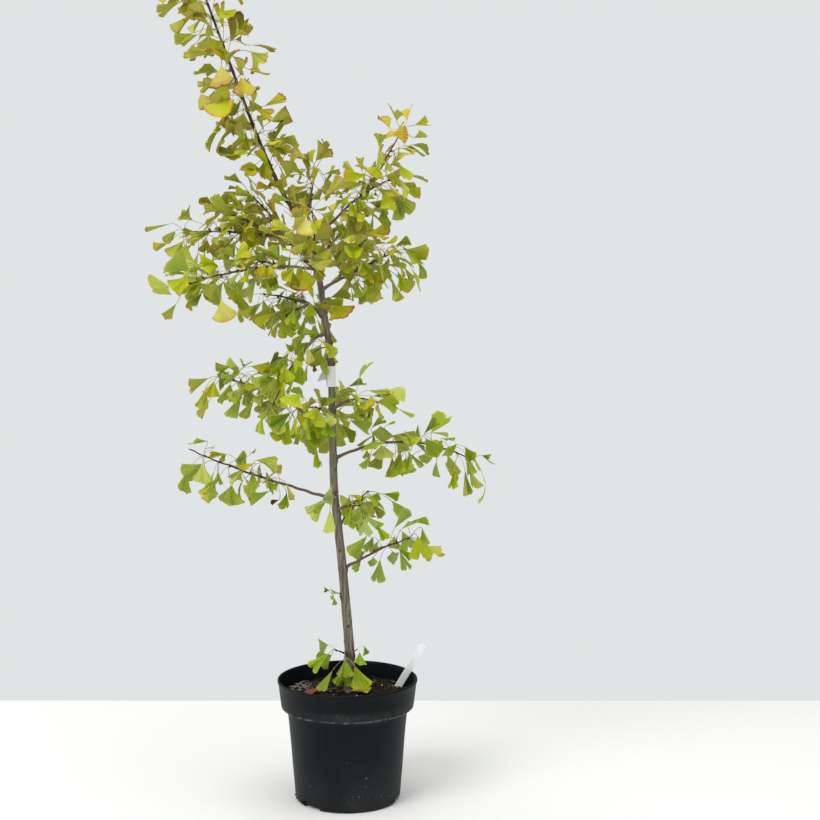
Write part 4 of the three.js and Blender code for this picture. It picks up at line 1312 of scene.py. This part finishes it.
def stalk_skins(leaves, settings):
    """Petioles: a cubic arc from the spur's tip, out along the petiole, that hangs over into the fan."""
    root, apex = leaves.root, leaves.apex
    span = np.linalg.norm(apex - root, axis=1, keepdims=True)
    out = root + leaves.petiole * span * 0.42 + UP * span * 0.12
    into = unit(leaves.petiole * 0.35 + leaves.blade * 0.65)
    end = apex + leaves.blade * 1.2
    back = end - into * span * 0.3
    t = np.linspace(0, 1, 8)[None, :, None]
    root, out, back, end = (points[:, None] for points in (root, out, back, end))
    paths = (1 - t) ** 3 * root + 3 * (1 - t) ** 2 * t * out + 3 * (1 - t) * t**2 * back + t**3 * end
    radius = settings.stalk / MM * np.array([1.25, 1.0, 0.9, 0.85, 0.85, 0.95, 1.15, 0.8])
    return tubes(paths, radius[None] * np.sqrt(leaves.size)[:, None], 5)


def loose_leaves(rows):
    """Listed leaves, from the stalk's root, the fan's foot, heading, tilt, roll, length and opening."""
    made = []
    for number, (root, foot, heading, tilt, roll, length, opening) in enumerate(rows):
        out = tilted(heading, tilt)
        upper, side = square_to(out)
        turn = math.radians(roll)
        across = side * math.cos(turn) + upper * math.sin(turn)
        across = across if np.cross(out, across)[2] > 0 else -across
        root, foot = np.array(root, float), np.array(foot, float)
        row = dict(root=root, apex=foot, petiole=unit(foot - root), blade=out, rolled=across)
        row.update(length=length, opening=math.radians(opening), full=1, size=LOOSE.size, fold=LOOSE.fold)
        made.append({**row, "seed": LOOSE.seed + number})
    return SimpleNamespace(**{key: np.array([row[key] for row in made]) for key in made[0]})


def dead_rows(plans):
    """Rows of the dead leaves: two hang from the dead twig's end, and one from the lowest spray."""
    foot, *way = DEAD_TWIG
    end = bough_line(trunk_at(foot), *way).point(np.array(0.97))
    low_left = next(plan for plan in plans if plan.name == "low_left")
    roots = (end, end, low_left.stems[0].line.point(np.array(0.4)))
    return [(root, root + np.array(hang), *rest) for root, (hang, *rest) in zip(roots, DEAD)]


def lying(x, y, lift, heading, length, opening, tilt, roll):
    """A fallen leaf's row: its foot stands off the compost by the lift, and its stalk lies behind it."""
    foot = on_compost(np.array([[x, y]], float))[0] + UP * lift
    return foot - tilted(heading, tilt) * 24, foot, heading, tilt, roll, length, opening


# ------------------------------------------------------------------ labels


STRIP_SIDES = 20


def strip_skin(path, across, widths, thickness):
    """A flat strip with round edges: a flattened ring of the width and thickness carried along a path."""
    tangent = unit(np.gradient(path, axis=0))
    over = unit(np.cross(tangent, across))
    angle = np.linspace(0, 2 * np.pi, STRIP_SIDES, endpoint=False)[None, :, None]
    wide = np.sign(np.cos(angle)) * np.abs(np.cos(angle)) ** 0.35 * (widths / 2)[:, None, None]
    thick = np.sin(angle) * thickness / 2
    rings = path[:, None] + unit(across)[:, None] * wide + over[:, None] * thick
    return closed_skins(rings[None], path[:1], path[-1:])


def pot_label_skin():
    """A tongue that leans out of the compost and bends a little, pointed below and blunt above."""
    share = np.linspace(0, 1, 40)
    lean = math.radians(POT_LABEL.lean)
    along = np.array([math.sin(lean), 0, math.cos(lean)])
    at_top = np.array([*POT_LABEL.foot, (COMPOST.crown + COMPOST.edge) / 2])
    start = at_top - along * POT_LABEL.depth
    over = np.array([math.cos(lean), 0, -math.sin(lean)])
    bend = (share**2 - share) * 1.6
    path = start + along * (share * POT_LABEL.length)[:, None] + np.array([0, 1, 0]) * bend[:, None]
    run = share * POT_LABEL.length
    widths = POT_LABEL.width * np.clip(run / 8, 0.12, 1) ** 0.9
    widths = widths * (1 - 0.16 * smooth(POT_LABEL.length - 5, POT_LABEL.length, run))
    across = np.broadcast_to(over, path.shape)
    return strip_skin(path, across, widths, POT_LABEL.thickness * 0.8)


def stem_label_skin():
    """A band once round the stem whose end goes on as a wing that narrows to a hanging tip.

    The third value is each face's material: the band (0), the wing, drawn darker as painted shade (1), or a
    dark strip of painted shadow at the band's end where the wing leaves it (2).
    """
    # The band's rows go round the stem; from the row in the second number it is a dark strip of painted
    # shadow where the wing leaves it.
    steps, painted_gap_shadow = 72, 70
    inner = float(trunk_radius(STEM_LABEL.bottom)) + STEM_LABEL.slack
    turn = np.linspace(0.1, 2 * np.pi - 0.04, steps)
    middle = STEM_LABEL.bottom + STEM_LABEL.height / 2
    angle = math.radians(STEM_LABEL.tab_heading) + turn
    radius = inner + STEM_LABEL.thickness / 2 + 0.25 * np.sin(turn * 3 + 1)
    ring = np.stack([np.cos(angle) * radius, np.sin(angle) * radius, 0 * turn], -1)
    out = towards(STEM_LABEL.tab_heading)
    side = np.array([-out[1], out[0], 0])
    share = np.linspace(0, 1, 22)[1:]
    flap = ring[-1] + out * (share * (STEM_LABEL.tab - 1))[:, None]
    flap = flap + side * (1.6 * np.sin(share * 3.0))[:, None]
    drop = np.concatenate([0 * turn, 4 * smooth(0, 0.1, share) - 11.5 * share**2])
    path = np.vstack([ring, flap]) + trunk_at(middle)
    path[:, 2] = middle + drop
    wing = 0.6 * STEM_LABEL.height * np.maximum(1 - share, 0.004) ** 0.55
    wing = wing + 0.4 * STEM_LABEL.height * (1 - smooth(0, 0.1, share))
    widths = np.concatenate([np.full(steps, STEM_LABEL.height), wing])
    across = np.broadcast_to(UP, path.shape)
    points, faces = strip_skin(path, across, widths, STEM_LABEL.thickness * 0.6)
    row = np.repeat(np.append(np.arange(len(path) - 1), [0, len(path)]), STRIP_SIDES)
    return points, faces, np.where(row < painted_gap_shadow, 0, np.where(row < steps, 2, 1))


# ------------------------------------------------------------------ settings


def number_property(name, description, value, least=0.0, **others):
    """A plain number."""
    return bpy.props.FloatProperty(name=name, description=description, default=value, min=least, **others)


def count_property(name, description, value, least=1):
    """A whole number."""
    return bpy.props.IntProperty(name=name, description=description, default=value, min=least)


def length_property(name, description, millimetres):
    """A length, given in millimetres and kept in metres."""
    return number_property(name, description, millimetres * MM, unit="LENGTH", precision=4)


def share_property(name, description, share, top=1.0):
    """A share from 0 to its top."""
    return number_property(name, description, share, max=top, subtype="FACTOR")


def colour_property(name, description, text):
    """A colour, given as six hexadecimal digits."""
    kind = dict(size=3, subtype="COLOR", min=0.0, max=1.0)
    return bpy.props.FloatVectorProperty(
        name=name, description=description, default=solid_colour(text)[:3], **kind
    )


class PotSettings(bpy.types.PropertyGroup):
    """Size and finish of the nursery pot."""

    height: length_property("Height", "Height of the pot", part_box("pot")[1].z / MM)
    sides: count_property("Sides", "Flat sides round the pot", 360, 48)
    unevenness: length_property("Unevenness", "How far the moulding strays from round", 0.9)
    colour: colour_property("Plastic", "Colour of the plastic", "050a11")
    # The dust colour also paints a pale sheen low down on the pot, where the floor would be reflected.
    dust_and_sheen: colour_property("Dust", "Colour of the dust on it", "6a6b69")
    bloom: share_property("Bloom", "How much of the dust shows", 0.55)


class CompostSettings(bpy.types.PropertyGroup):
    """Look of the compost and of what lies on it."""

    # The dark colour paints shade in the compost's hollows and also colours its darker patches.
    dark: colour_property("Dark", "Colour of the hollows", "0f0a08")
    light: colour_property("Light", "Colour of the crumbs", "2e2119")
    chips: count_property("Chips", "Number of bark chips", 420)
    roots: count_property("Roots", "Number of fine roots", 130)


class BarkSettings(bpy.types.PropertyGroup):
    """Relief and colours of the bark."""

    relief: length_property("Relief", "Depth of the fissures in old bark", 0.55)
    old: colour_property("Old bark", "Colour of the trunk", "887d6d")
    fissure: colour_property("Fissures", "Colour in the trunk's fissures", "574c42")
    bloom: colour_property("Pale patches", "Colour of the trunk's pale patches", "a49a8f")
    young: colour_property("Young bark", "Colour of the leader and twigs", "5e3e33")
    twig: colour_property("Twig foot", "Colour of the boughs near the trunk", "7d675a")


class LeafSettings(bpy.types.PropertyGroup):
    """Shape and tints of the leaves."""

    thickness: length_property("Thickness", "Thickness of a blade", 0.32)
    stalk: length_property("Stalk radius", "Half the thickness of a petiole", 0.52)
    teeth: share_property("Teeth", "Depth of the teeth at the margin", 0.11)
    pleats: share_property("Pleats", "Height of the ridges that fan out, beside the blade's length", 0.026)
    fold: share_property("Fold", "How far blades fold about their middle", 1.0, 2.0)
    curl: share_property("Curl", "How far blades roll down at the margin", 1.0, 2.0)
    fullness: share_property("Fullness", "How large blades are beside the solids' own", 1.08, 1.2)
    turning: share_property("Turning", "How far the leaves have turned from green", 1.0, 2.0)
    tint_0: colour_property("Green", "Leaves that haven't turned", "7e9d00")
    tint_1: colour_property("Fresh green", "Leaves that begin to turn", "94a802")
    tint_2: colour_property("Lime", "Leaves turning", "a6b004")
    tint_3: colour_property("Olive yellow", "Leaves half turned", "b3ae0c")
    tint_4: colour_property("Yellow", "Leaves nearly turned", "b6a41f")
    tint_5: colour_property("Amber", "Turned margins", "b18f26")
    tint_6: colour_property("Orange", "Late margins", "a07024")
    tint_7: colour_property("Brown", "Dry points", "7a4c20")
    # The next two colours paint light: leaves blended towards the first are painted shade, and those blended
    # towards the second a painted sheen.
    shaded: colour_property("Deep", "Shade that the deep leaves are blended with", "435600")
    pale: colour_property("Pale", "Wax that the pale leaves are blended with", "d8d8a0")
    shaded_share: share_property("Deep leaves", "Share of leaves that are deep", 0.3)
    sheen_share: share_property("Pale leaves", "Share of leaves that are pale", 0.13)
    under: colour_property("Underside", "Pale wax that the undersides are blended with", "b4bc74")
    dead: colour_property("Dead", "Leaves that died on the twig", "6b2620")


class LabelSettings(bpy.types.PropertyGroup):
    """Finish of the two blank labels."""

    colour: colour_property("Plastic", "Colour of the labels", "f6f8fa")
    # The back colour paints shade on the stem label's wing.
    back: colour_property("Back", "Colour of the stem label's back", "cfcdc2")


class StageSettings(bpy.types.PropertyGroup):
    """Floor, light and camera."""

    floor: colour_property("Floor", "Colour of the floor", "f4f4f2")
    wall: colour_property("Surroundings", "Colour behind everything", "e1e4e4")
    ambient: share_property("Ambient", "Share of the surroundings' light that reaches the plant", 0.56)
    key: number_property("Key light", "Watts of the main light", 112.0)
    fill: number_property("Fill light", "Watts of the second light", 10.0)
    side: number_property("Side light", "Watts of the light on the left", 13.0)
    top: number_property("Top light", "Watts of the light above", 68.0)
    lens: number_property("Lens", "Focal length in millimetres", 74.63, 10.0)


SETTINGS = {
    "ginkgo_pot": PotSettings,
    "ginkgo_compost": CompostSettings,
    "ginkgo_bark": BarkSettings,
    "ginkgo_leaves": LeafSettings,
    "ginkgo_labels": LabelSettings,
    "ginkgo_stage": StageSettings,
}

# The stage, in metres: the floor's corners in x and y, and the camera's place and its tilt in degrees.
FLOOR = SimpleNamespace(side=4.0, front=-4.5, back=0.589)
CAMERA = SimpleNamespace(place=(0.1045, -2.78, 0.947), tilt=84, sensor=36.0)

# What one operator works out and others use again: the plans of the masses and all leaves.
grown = {}


def plant():
    """The plans and the leaves, worked out once."""
    if not grown:
        grown["plans"], grown["leaves"] = grow()
        upright(grown["leaves"])
    return grown["plans"], grown["leaves"]


# ------------------------------------------------------------------ operators


class GINKGO_OT_pot(bpy.types.Operator):
    """Make the nursery pot"""

    bl_idname = "ginkgo.pot"
    bl_label = "Pot"

    def execute(self, context):
        settings = context.scene.ginkgo_pot
        points, faces = pot_skin(settings.height / MM, settings.sides, settings.unevenness / MM)
        make_piece("pot_shell", points, faces, [plastic_finish(settings)], "pot", ["pot"], sharp=48)
        return {"FINISHED"}


class GINKGO_OT_compost(bpy.types.Operator):
    """Make the compost, with the chips, grit and roots in it"""

    bl_idname = "ginkgo.compost"
    bl_label = "Compost"

    def execute(self, context):
        settings = context.scene.ginkgo_compost
        points, faces = compost_skin(100, 300)
        make_piece("compost_bed", points, faces, [compost_finish(settings)], "compost", ["compost"])
        self.make_litter(settings)
        return {"FINISHED"}

    def make_litter(self, settings):
        """Bark chips, grit, fine roots, a tangle of pale roots on the left and soil on the pot's foot."""
        chip, root = np.arange(settings.chips), np.arange(settings.roots)
        bit, pale = np.arange(LITTER.grit), np.arange(LITTER.tangle)
        sizes = np.stack([
            between((3, 13), chance(chip, 1, 7, 1) ** 2.2),
            between((2, 5), chance(chip, 2, 7, 1)),
            between((0.8, 2.6), chance(chip, 3, 7, 1)),
        ], -1)
        bit_sizes = np.repeat(between((1.0, 2.4), chance(bit, 1, 7, 2))[:, None], 3, 1)
        lengths = between((8, 34), chance(root, 1, 7, 3))
        radii = between((0.18, 0.42), chance(root, 2, 7, 3))
        pale_places = scatter(len(pale), 47, 5, 24) + np.array(LITTER.tangle_at)
        pale_lengths = between((12, 30), chance(pale, 1, 7, 4))
        points, faces, lots = join([
            chips(scatter(len(chip), 41) + UP * 0.4, sizes, 42),
            chips(scatter(len(bit), 43) + UP * 0.6, bit_sizes, 44),
            threads(scatter(len(root), 45, 20), lengths, radii, 46),
            threads(pale_places, pale_lengths, np.full(len(pale), 0.3), 48, 4.0),
            self.foot_crumbs(LITTER.crumbs),
        ])
        tones = {"chip_dark": "17100c", "chip_brown": "291c13", "chip_light": "4a3626",
                 "grit": "c4c1b8", "root": "6a5a48", "root_pale": "c4bfb0"}
        choice = np.array([0, 3, 4, 5, 0])[lots]
        choice[lots == 0] = np.repeat((chance(chip, 4, 7, 1) * 3).astype(int), 6)
        materials = [chip_finish(name, solid_colour(text)) for name, text in tones.items()]
        make_piece("compost_litter", points, faces, materials, "compost", choice=choice, sharp=40)

    @staticmethod
    def foot_crumbs(count):
        """Soil that clings round the pot's bottom edge, in a few patches."""
        number = np.arange(count)
        patch = np.radians(np.array([-158, -20, 60, 128, -100]))[number % 5]
        angle = patch + 0.6 * (chance(number, 1, 7, 5) - 0.5) + 0.3 * (chance(number, 2, 7, 5) - 0.5)
        z = 1.2 + 7 * chance(number, 3, 7, 5) ** 2
        radius = POT.base_radius - 5.5 + np.minimum(z, 6) * 0.9
        places = np.stack([radius * np.cos(angle), radius * np.sin(angle), z], -1)
        size = between((1.2, 3.6), chance(number, 4, 7, 5) ** 2)
        return chips(places, size[:, None] * np.array([1.0, 0.8, 0.6]), 49)


class GINKGO_OT_trunk(bpy.types.Operator):
    """Make the trunk and its leader"""

    bl_idname = "ginkgo.trunk"
    bl_label = "Trunk"

    def execute(self, context):
        settings = context.scene.ginkgo_bark
        plans, _ = plant()
        points, faces, knot = trunk_skin(plans, settings)
        materials = [bark_finish(settings)]
        make_piece("trunk_bark", points, faces, materials, "bark", ["trunk"], values={"knot": knot})
        return {"FINISHED"}


class GINKGO_OT_twigs(bpy.types.Operator):
    """Make the boughs, the twigs and the spurs on them"""

    bl_idname = "ginkgo.twigs"
    bl_label = "Boughs and twigs"

    def execute(self, context):
        settings = context.scene.ginkgo_bark
        plans, _ = plant()
        points, faces, age = twig_skins(plans)
        boughs = ["bough_" + plan.name for plan in plans if plan.bough > 0]
        materials = [twig_finish(settings)]
        make_piece("boughs_and_twigs", points, faces, materials, "bough", boughs, values={"age": age})
        points, faces, choice = spur_skins(plans)
        tones = {"spur": "3d2a25", "bud": "927448"}
        materials = [chip_finish(name, solid_colour(text)) for name, text in tones.items()]
        make_piece("spurs", points, faces, materials, "bough", choice=choice)
        return {"FINISHED"}


def leaf_materials(settings):
    """The eight tints as three kinds of upper side, plain, darker as painted shade and paler as a painted
    sheen, and as undersides, then the dead ones, by name.
    """
    shaded, pale, under, dead = (colour_of(getattr(settings, key)) for key in ("shaded", "pale", "under", "dead"))
    # how far a kind is blended with its shade, how much less so for each later tint, and its roughness
    ways = {
        "top": (pale, 0.0, 0.0, 0.42),
        # The second kind is painted shade and the third a painted sheen.
        "shaded": (shaded, 0.5, 0.0, 0.38),
        "pale": (pale, 0.36, 0.05, 0.46),
        "back": (under, 0.3, 0.0, 0.58),
    }
    made = {}
    for way, (shade, share, less, roughness) in ways.items():
        for at in range(8):
            tint = blended(colour_of(getattr(settings, f"tint_{at}")), shade, share - less * at)
            made[f"leaf_{way}_{at}"] = leaf_finish(f"leaf_{way}_{at}", tint, roughness)
    made["leaf_dead"] = leaf_finish("leaf_dead", dead, 0.51)
    made["leaf_fallen"] = leaf_finish("leaf_fallen", blended(dead, SHADES.fallen, 0.16), 0.56)
    return made


def tones_of(leaves, settings):
    """Whether each leaf's upper side is plain (0), darker as painted shade (1) or paler as a painted sheen
    (2).
    """
    drawn = chance(leaves.seed, 6, 4, 10)
    return np.where(drawn < settings.shaded_share, 1, np.where(drawn > 1 - settings.sheen_share, 2, 0))


class GINKGO_OT_leaves(bpy.types.Operator):
    """Make the leaves, on the twigs and fallen"""

    bl_idname = "ginkgo.leaves"
    bl_label = "Leaves"

    def execute(self, context):
        settings = context.scene.ginkgo_leaves
        plans, leaves = plant()
        materials = leaf_materials(settings)
        template = blade_template()
        faces, _, _, sides = template
        points, flat = blade_points(leaves, settings)
        tone = tones_of(leaves, settings)
        tints = tints_of(leaves, template, settings) + 8 * np.where(sides[None] == 0, tone[:, None], 3)
        spur_heights = np.array([plan.spurs[0].at[2] for plan in plans])
        for tier, (low, high) in TIERS.items():
            inside = (spur_heights > low) & (spur_heights <= high)
            chosen = inside[leaves.mass]
            count = int(chosen.sum())
            nodes = ["foliage_" + plan.name for plan, kept in zip(plans, inside) if kept]
            make_piece(
                tier.replace("leaf", "leaves"),
                points[chosen].reshape(-1, 3),
                repeat_faces(faces, count, points.shape[1]),
                materials.values(),
                tier,
                nodes,
                choice=tints[chosen].ravel(),
                sharp=38,
                uv=np.tile(flat, (count, 1)),
            )
        self.make_stalks(settings, leaves)
        lots = {
            "fallen_leaves": ([lying(*row) for row in FALLEN], FALLEN_TONES),
            "dead_leaves": (dead_rows(plans), DEAD_TONES),
        }
        for name, (rows, tones) in lots.items():
            self.make_loose(name, rows, tones, settings, materials, faces)
        return {"FINISHED"}

    @staticmethod
    def make_stalks(settings, leaves):
        """All stalks on the plant as one piece, each in one of three tones."""
        points, faces = stalk_skins(leaves, settings)
        tone = (chance(leaves.seed, 1, 9, 1) * 3).astype(int)
        tones = (("stalk_green", "a3ad4e"), ("stalk_straw", "b9b26a"), ("stalk_tan", "9c8450"))
        materials = [stalk_finish(name, solid_colour(text)) for name, text in tones]
        choice = np.repeat(tone, len(faces) // len(leaves.seed))
        make_piece("leaf_stalks", points, faces, materials, "leaf_mid", choice=choice)

    @staticmethod
    def make_loose(name, rows, tones, settings, materials, faces):
        """One piece of listed leaves and their stalks, each leaf with the material of its tone."""
        leaves = loose_leaves(rows)
        count = len(rows)
        points, flat = blade_points(leaves, settings)
        stalks = stalk_skins(leaves, settings)
        blades = points.reshape(-1, 3), repeat_faces(faces, count, points.shape[1])
        points, all_faces, lots = join([blades, stalks])
        uv = np.vstack([np.tile(flat, (count, 1)), np.zeros((len(stalks[0]), 2))])
        used = [tone for tone in materials if tone in tones]
        choice = np.full(len(all_faces), len(used))
        choice[lots == 0] = np.repeat([used.index(tone) for tone in tones], len(faces))
        kept = [materials[tone] for tone in used] + [stalk_finish(name + "_stalk", SHADES.dead_stalk)]
        make_piece(name, points, all_faces, kept, "leaf_low", choice=choice, sharp=38, uv=uv)


class GINKGO_OT_labels(bpy.types.Operator):
    """Make the blank pot label and the blank label round the stem"""

    bl_idname = "ginkgo.labels"
    bl_label = "Labels"

    def execute(self, context):
        settings = context.scene.ginkgo_labels
        front = label_finish("label_plastic", colour_of(settings.colour))
        # The wing's material is the label's colour drawn darker, as painted shade.
        back = label_finish("label_wing_shade", colour_of(settings.back))
        # The third material is a dark strip of painted shadow where the wing leaves the band.
        kinds = [front, back, chip_finish("painted_gap_shadow", SHADES.painted_gap_shadow)]
        make_piece("label_in_pot", *pot_label_skin(), [front], "label", ["pot_label"], sharp=50)
        points, faces, choice = stem_label_skin()
        make_piece("label_on_stem", points, faces, kinds, "label", ["stem_label"], choice=choice, sharp=50)
        return {"FINISHED"}


class GINKGO_OT_stage(bpy.types.Operator):
    """Make the floor, the soft lights and the camera"""

    bl_idname = "ginkgo.stage"
    bl_label = "Stage"

    def execute(self, context):
        scene = context.scene
        settings = scene.ginkgo_stage
        self.make_floor(settings)
        world = bpy.data.worlds.new("surroundings")
        world.use_nodes = True
        nodes, links = world.node_tree.nodes, world.node_tree.links
        background = nodes["Background"]
        background.inputs["Color"].default_value = colour_of(settings.wall)
        seen = nodes.new("ShaderNodeLightPath").outputs["Is Camera Ray"]
        share = nodes.new("ShaderNodeMapRange")
        share.inputs["To Min"].default_value = settings.ambient
        links.new(seen, share.inputs["Value"])
        links.new(share.outputs["Result"], background.inputs["Strength"])
        scene.world = world
        self.make_light("key", settings.key, (-2.3, -2.7, 3.3), (-0.05, 0, 0.75), 2.4)
        self.make_light("fill", settings.fill, (3.0, -1.6, 1.9), (0, 0, 0.6), 2.4)
        self.make_light("side", settings.side, (-2.8, 0.9, 0.8), (0, 0, 0.4), 1.6)
        self.make_light("top", settings.top, (0.3, -0.2, 3.6), (0, 0, 0), 3.2)
        camera = bpy.data.objects.new("camera", bpy.data.cameras.new("camera"))
        camera.data.lens = settings.lens
        camera.data.sensor_width = CAMERA.sensor
        camera.location = CAMERA.place
        camera.rotation_euler = (math.radians(CAMERA.tilt), 0, 0)
        scene.collection.objects.link(camera)
        scene.camera = camera
        scene.view_settings.view_transform = "Standard"
        return {"FINISHED"}

    @staticmethod
    def make_floor(settings):
        """One flat rectangle."""
        side, front, back = FLOOR.side, FLOOR.front, FLOOR.back
        corners = [(-side, front, 0.0), (side, front, 0.0), (side, back, 0.0), (-side, back, 0.0)]
        mesh = bpy.data.meshes.new("floor")
        mesh.from_pydata(corners, [], [(0, 1, 2, 3)])
        mesh.materials.append(floor_finish("floor", colour_of(settings.floor)))
        floor = bpy.data.objects.new("floor", mesh)
        bpy.context.scene.collection.objects.link(floor)

    @staticmethod
    def make_light(name, watts, place, target, size):
        """One square lamp that faces its target."""
        data = bpy.data.lights.new(name, "AREA")
        data.energy = watts
        data.size = size
        light = bpy.data.objects.new(name, data)
        way = np.array(target) - np.array(place)
        light.location = place
        light.rotation_euler = (
            math.acos(-way[2] / np.linalg.norm(way)),
            0,
            math.atan2(way[1], way[0]) - math.pi / 2,
        )
        bpy.context.scene.collection.objects.link(light)


class GINKGO_PT_panel(bpy.types.Panel):
    """The steps that build the plant, and their settings"""

    bl_label = "Potted ginkgo"
    bl_idname = "GINKGO_PT_panel"
    bl_space_type = "VIEW_3D"
    bl_region_type = "UI"
    bl_category = "Ginkgo"

    def draw(self, context):
        """A box for each operator, with its settings under it."""
        for step, group in STEPS.items():
            box = self.layout.box()
            box.operator(step.bl_idname)
            for key in SETTINGS[group].__annotations__:
                box.prop(getattr(context.scene, group), key)


# The operators in order, each with its group of settings.
STEPS = {
    GINKGO_OT_pot: "ginkgo_pot",
    GINKGO_OT_compost: "ginkgo_compost",
    GINKGO_OT_trunk: "ginkgo_bark",
    GINKGO_OT_twigs: "ginkgo_bark",
    GINKGO_OT_leaves: "ginkgo_leaves",
    GINKGO_OT_labels: "ginkgo_labels",
    GINKGO_OT_stage: "ginkgo_stage",
}
CLASSES = (*SETTINGS.values(), *STEPS, GINKGO_PT_panel)


def register():
    """Registers the classes and puts each group of settings on the scene."""
    for each in CLASSES:
        bpy.utils.register_class(each)
    for name, settings in SETTINGS.items():
        setattr(bpy.types.Scene, name, bpy.props.PointerProperty(type=settings))


def unregister():
    """Takes the settings and the classes away again."""
    for name in SETTINGS:
        delattr(bpy.types.Scene, name)
    for each in reversed(CLASSES):
        bpy.utils.unregister_class(each)


def main():
    """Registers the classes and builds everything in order."""
    register()
    for step in STEPS:
        getattr(bpy.ops.ginkgo, step.bl_idname.split(".")[1])()


if __name__ == "__main__":
    main()
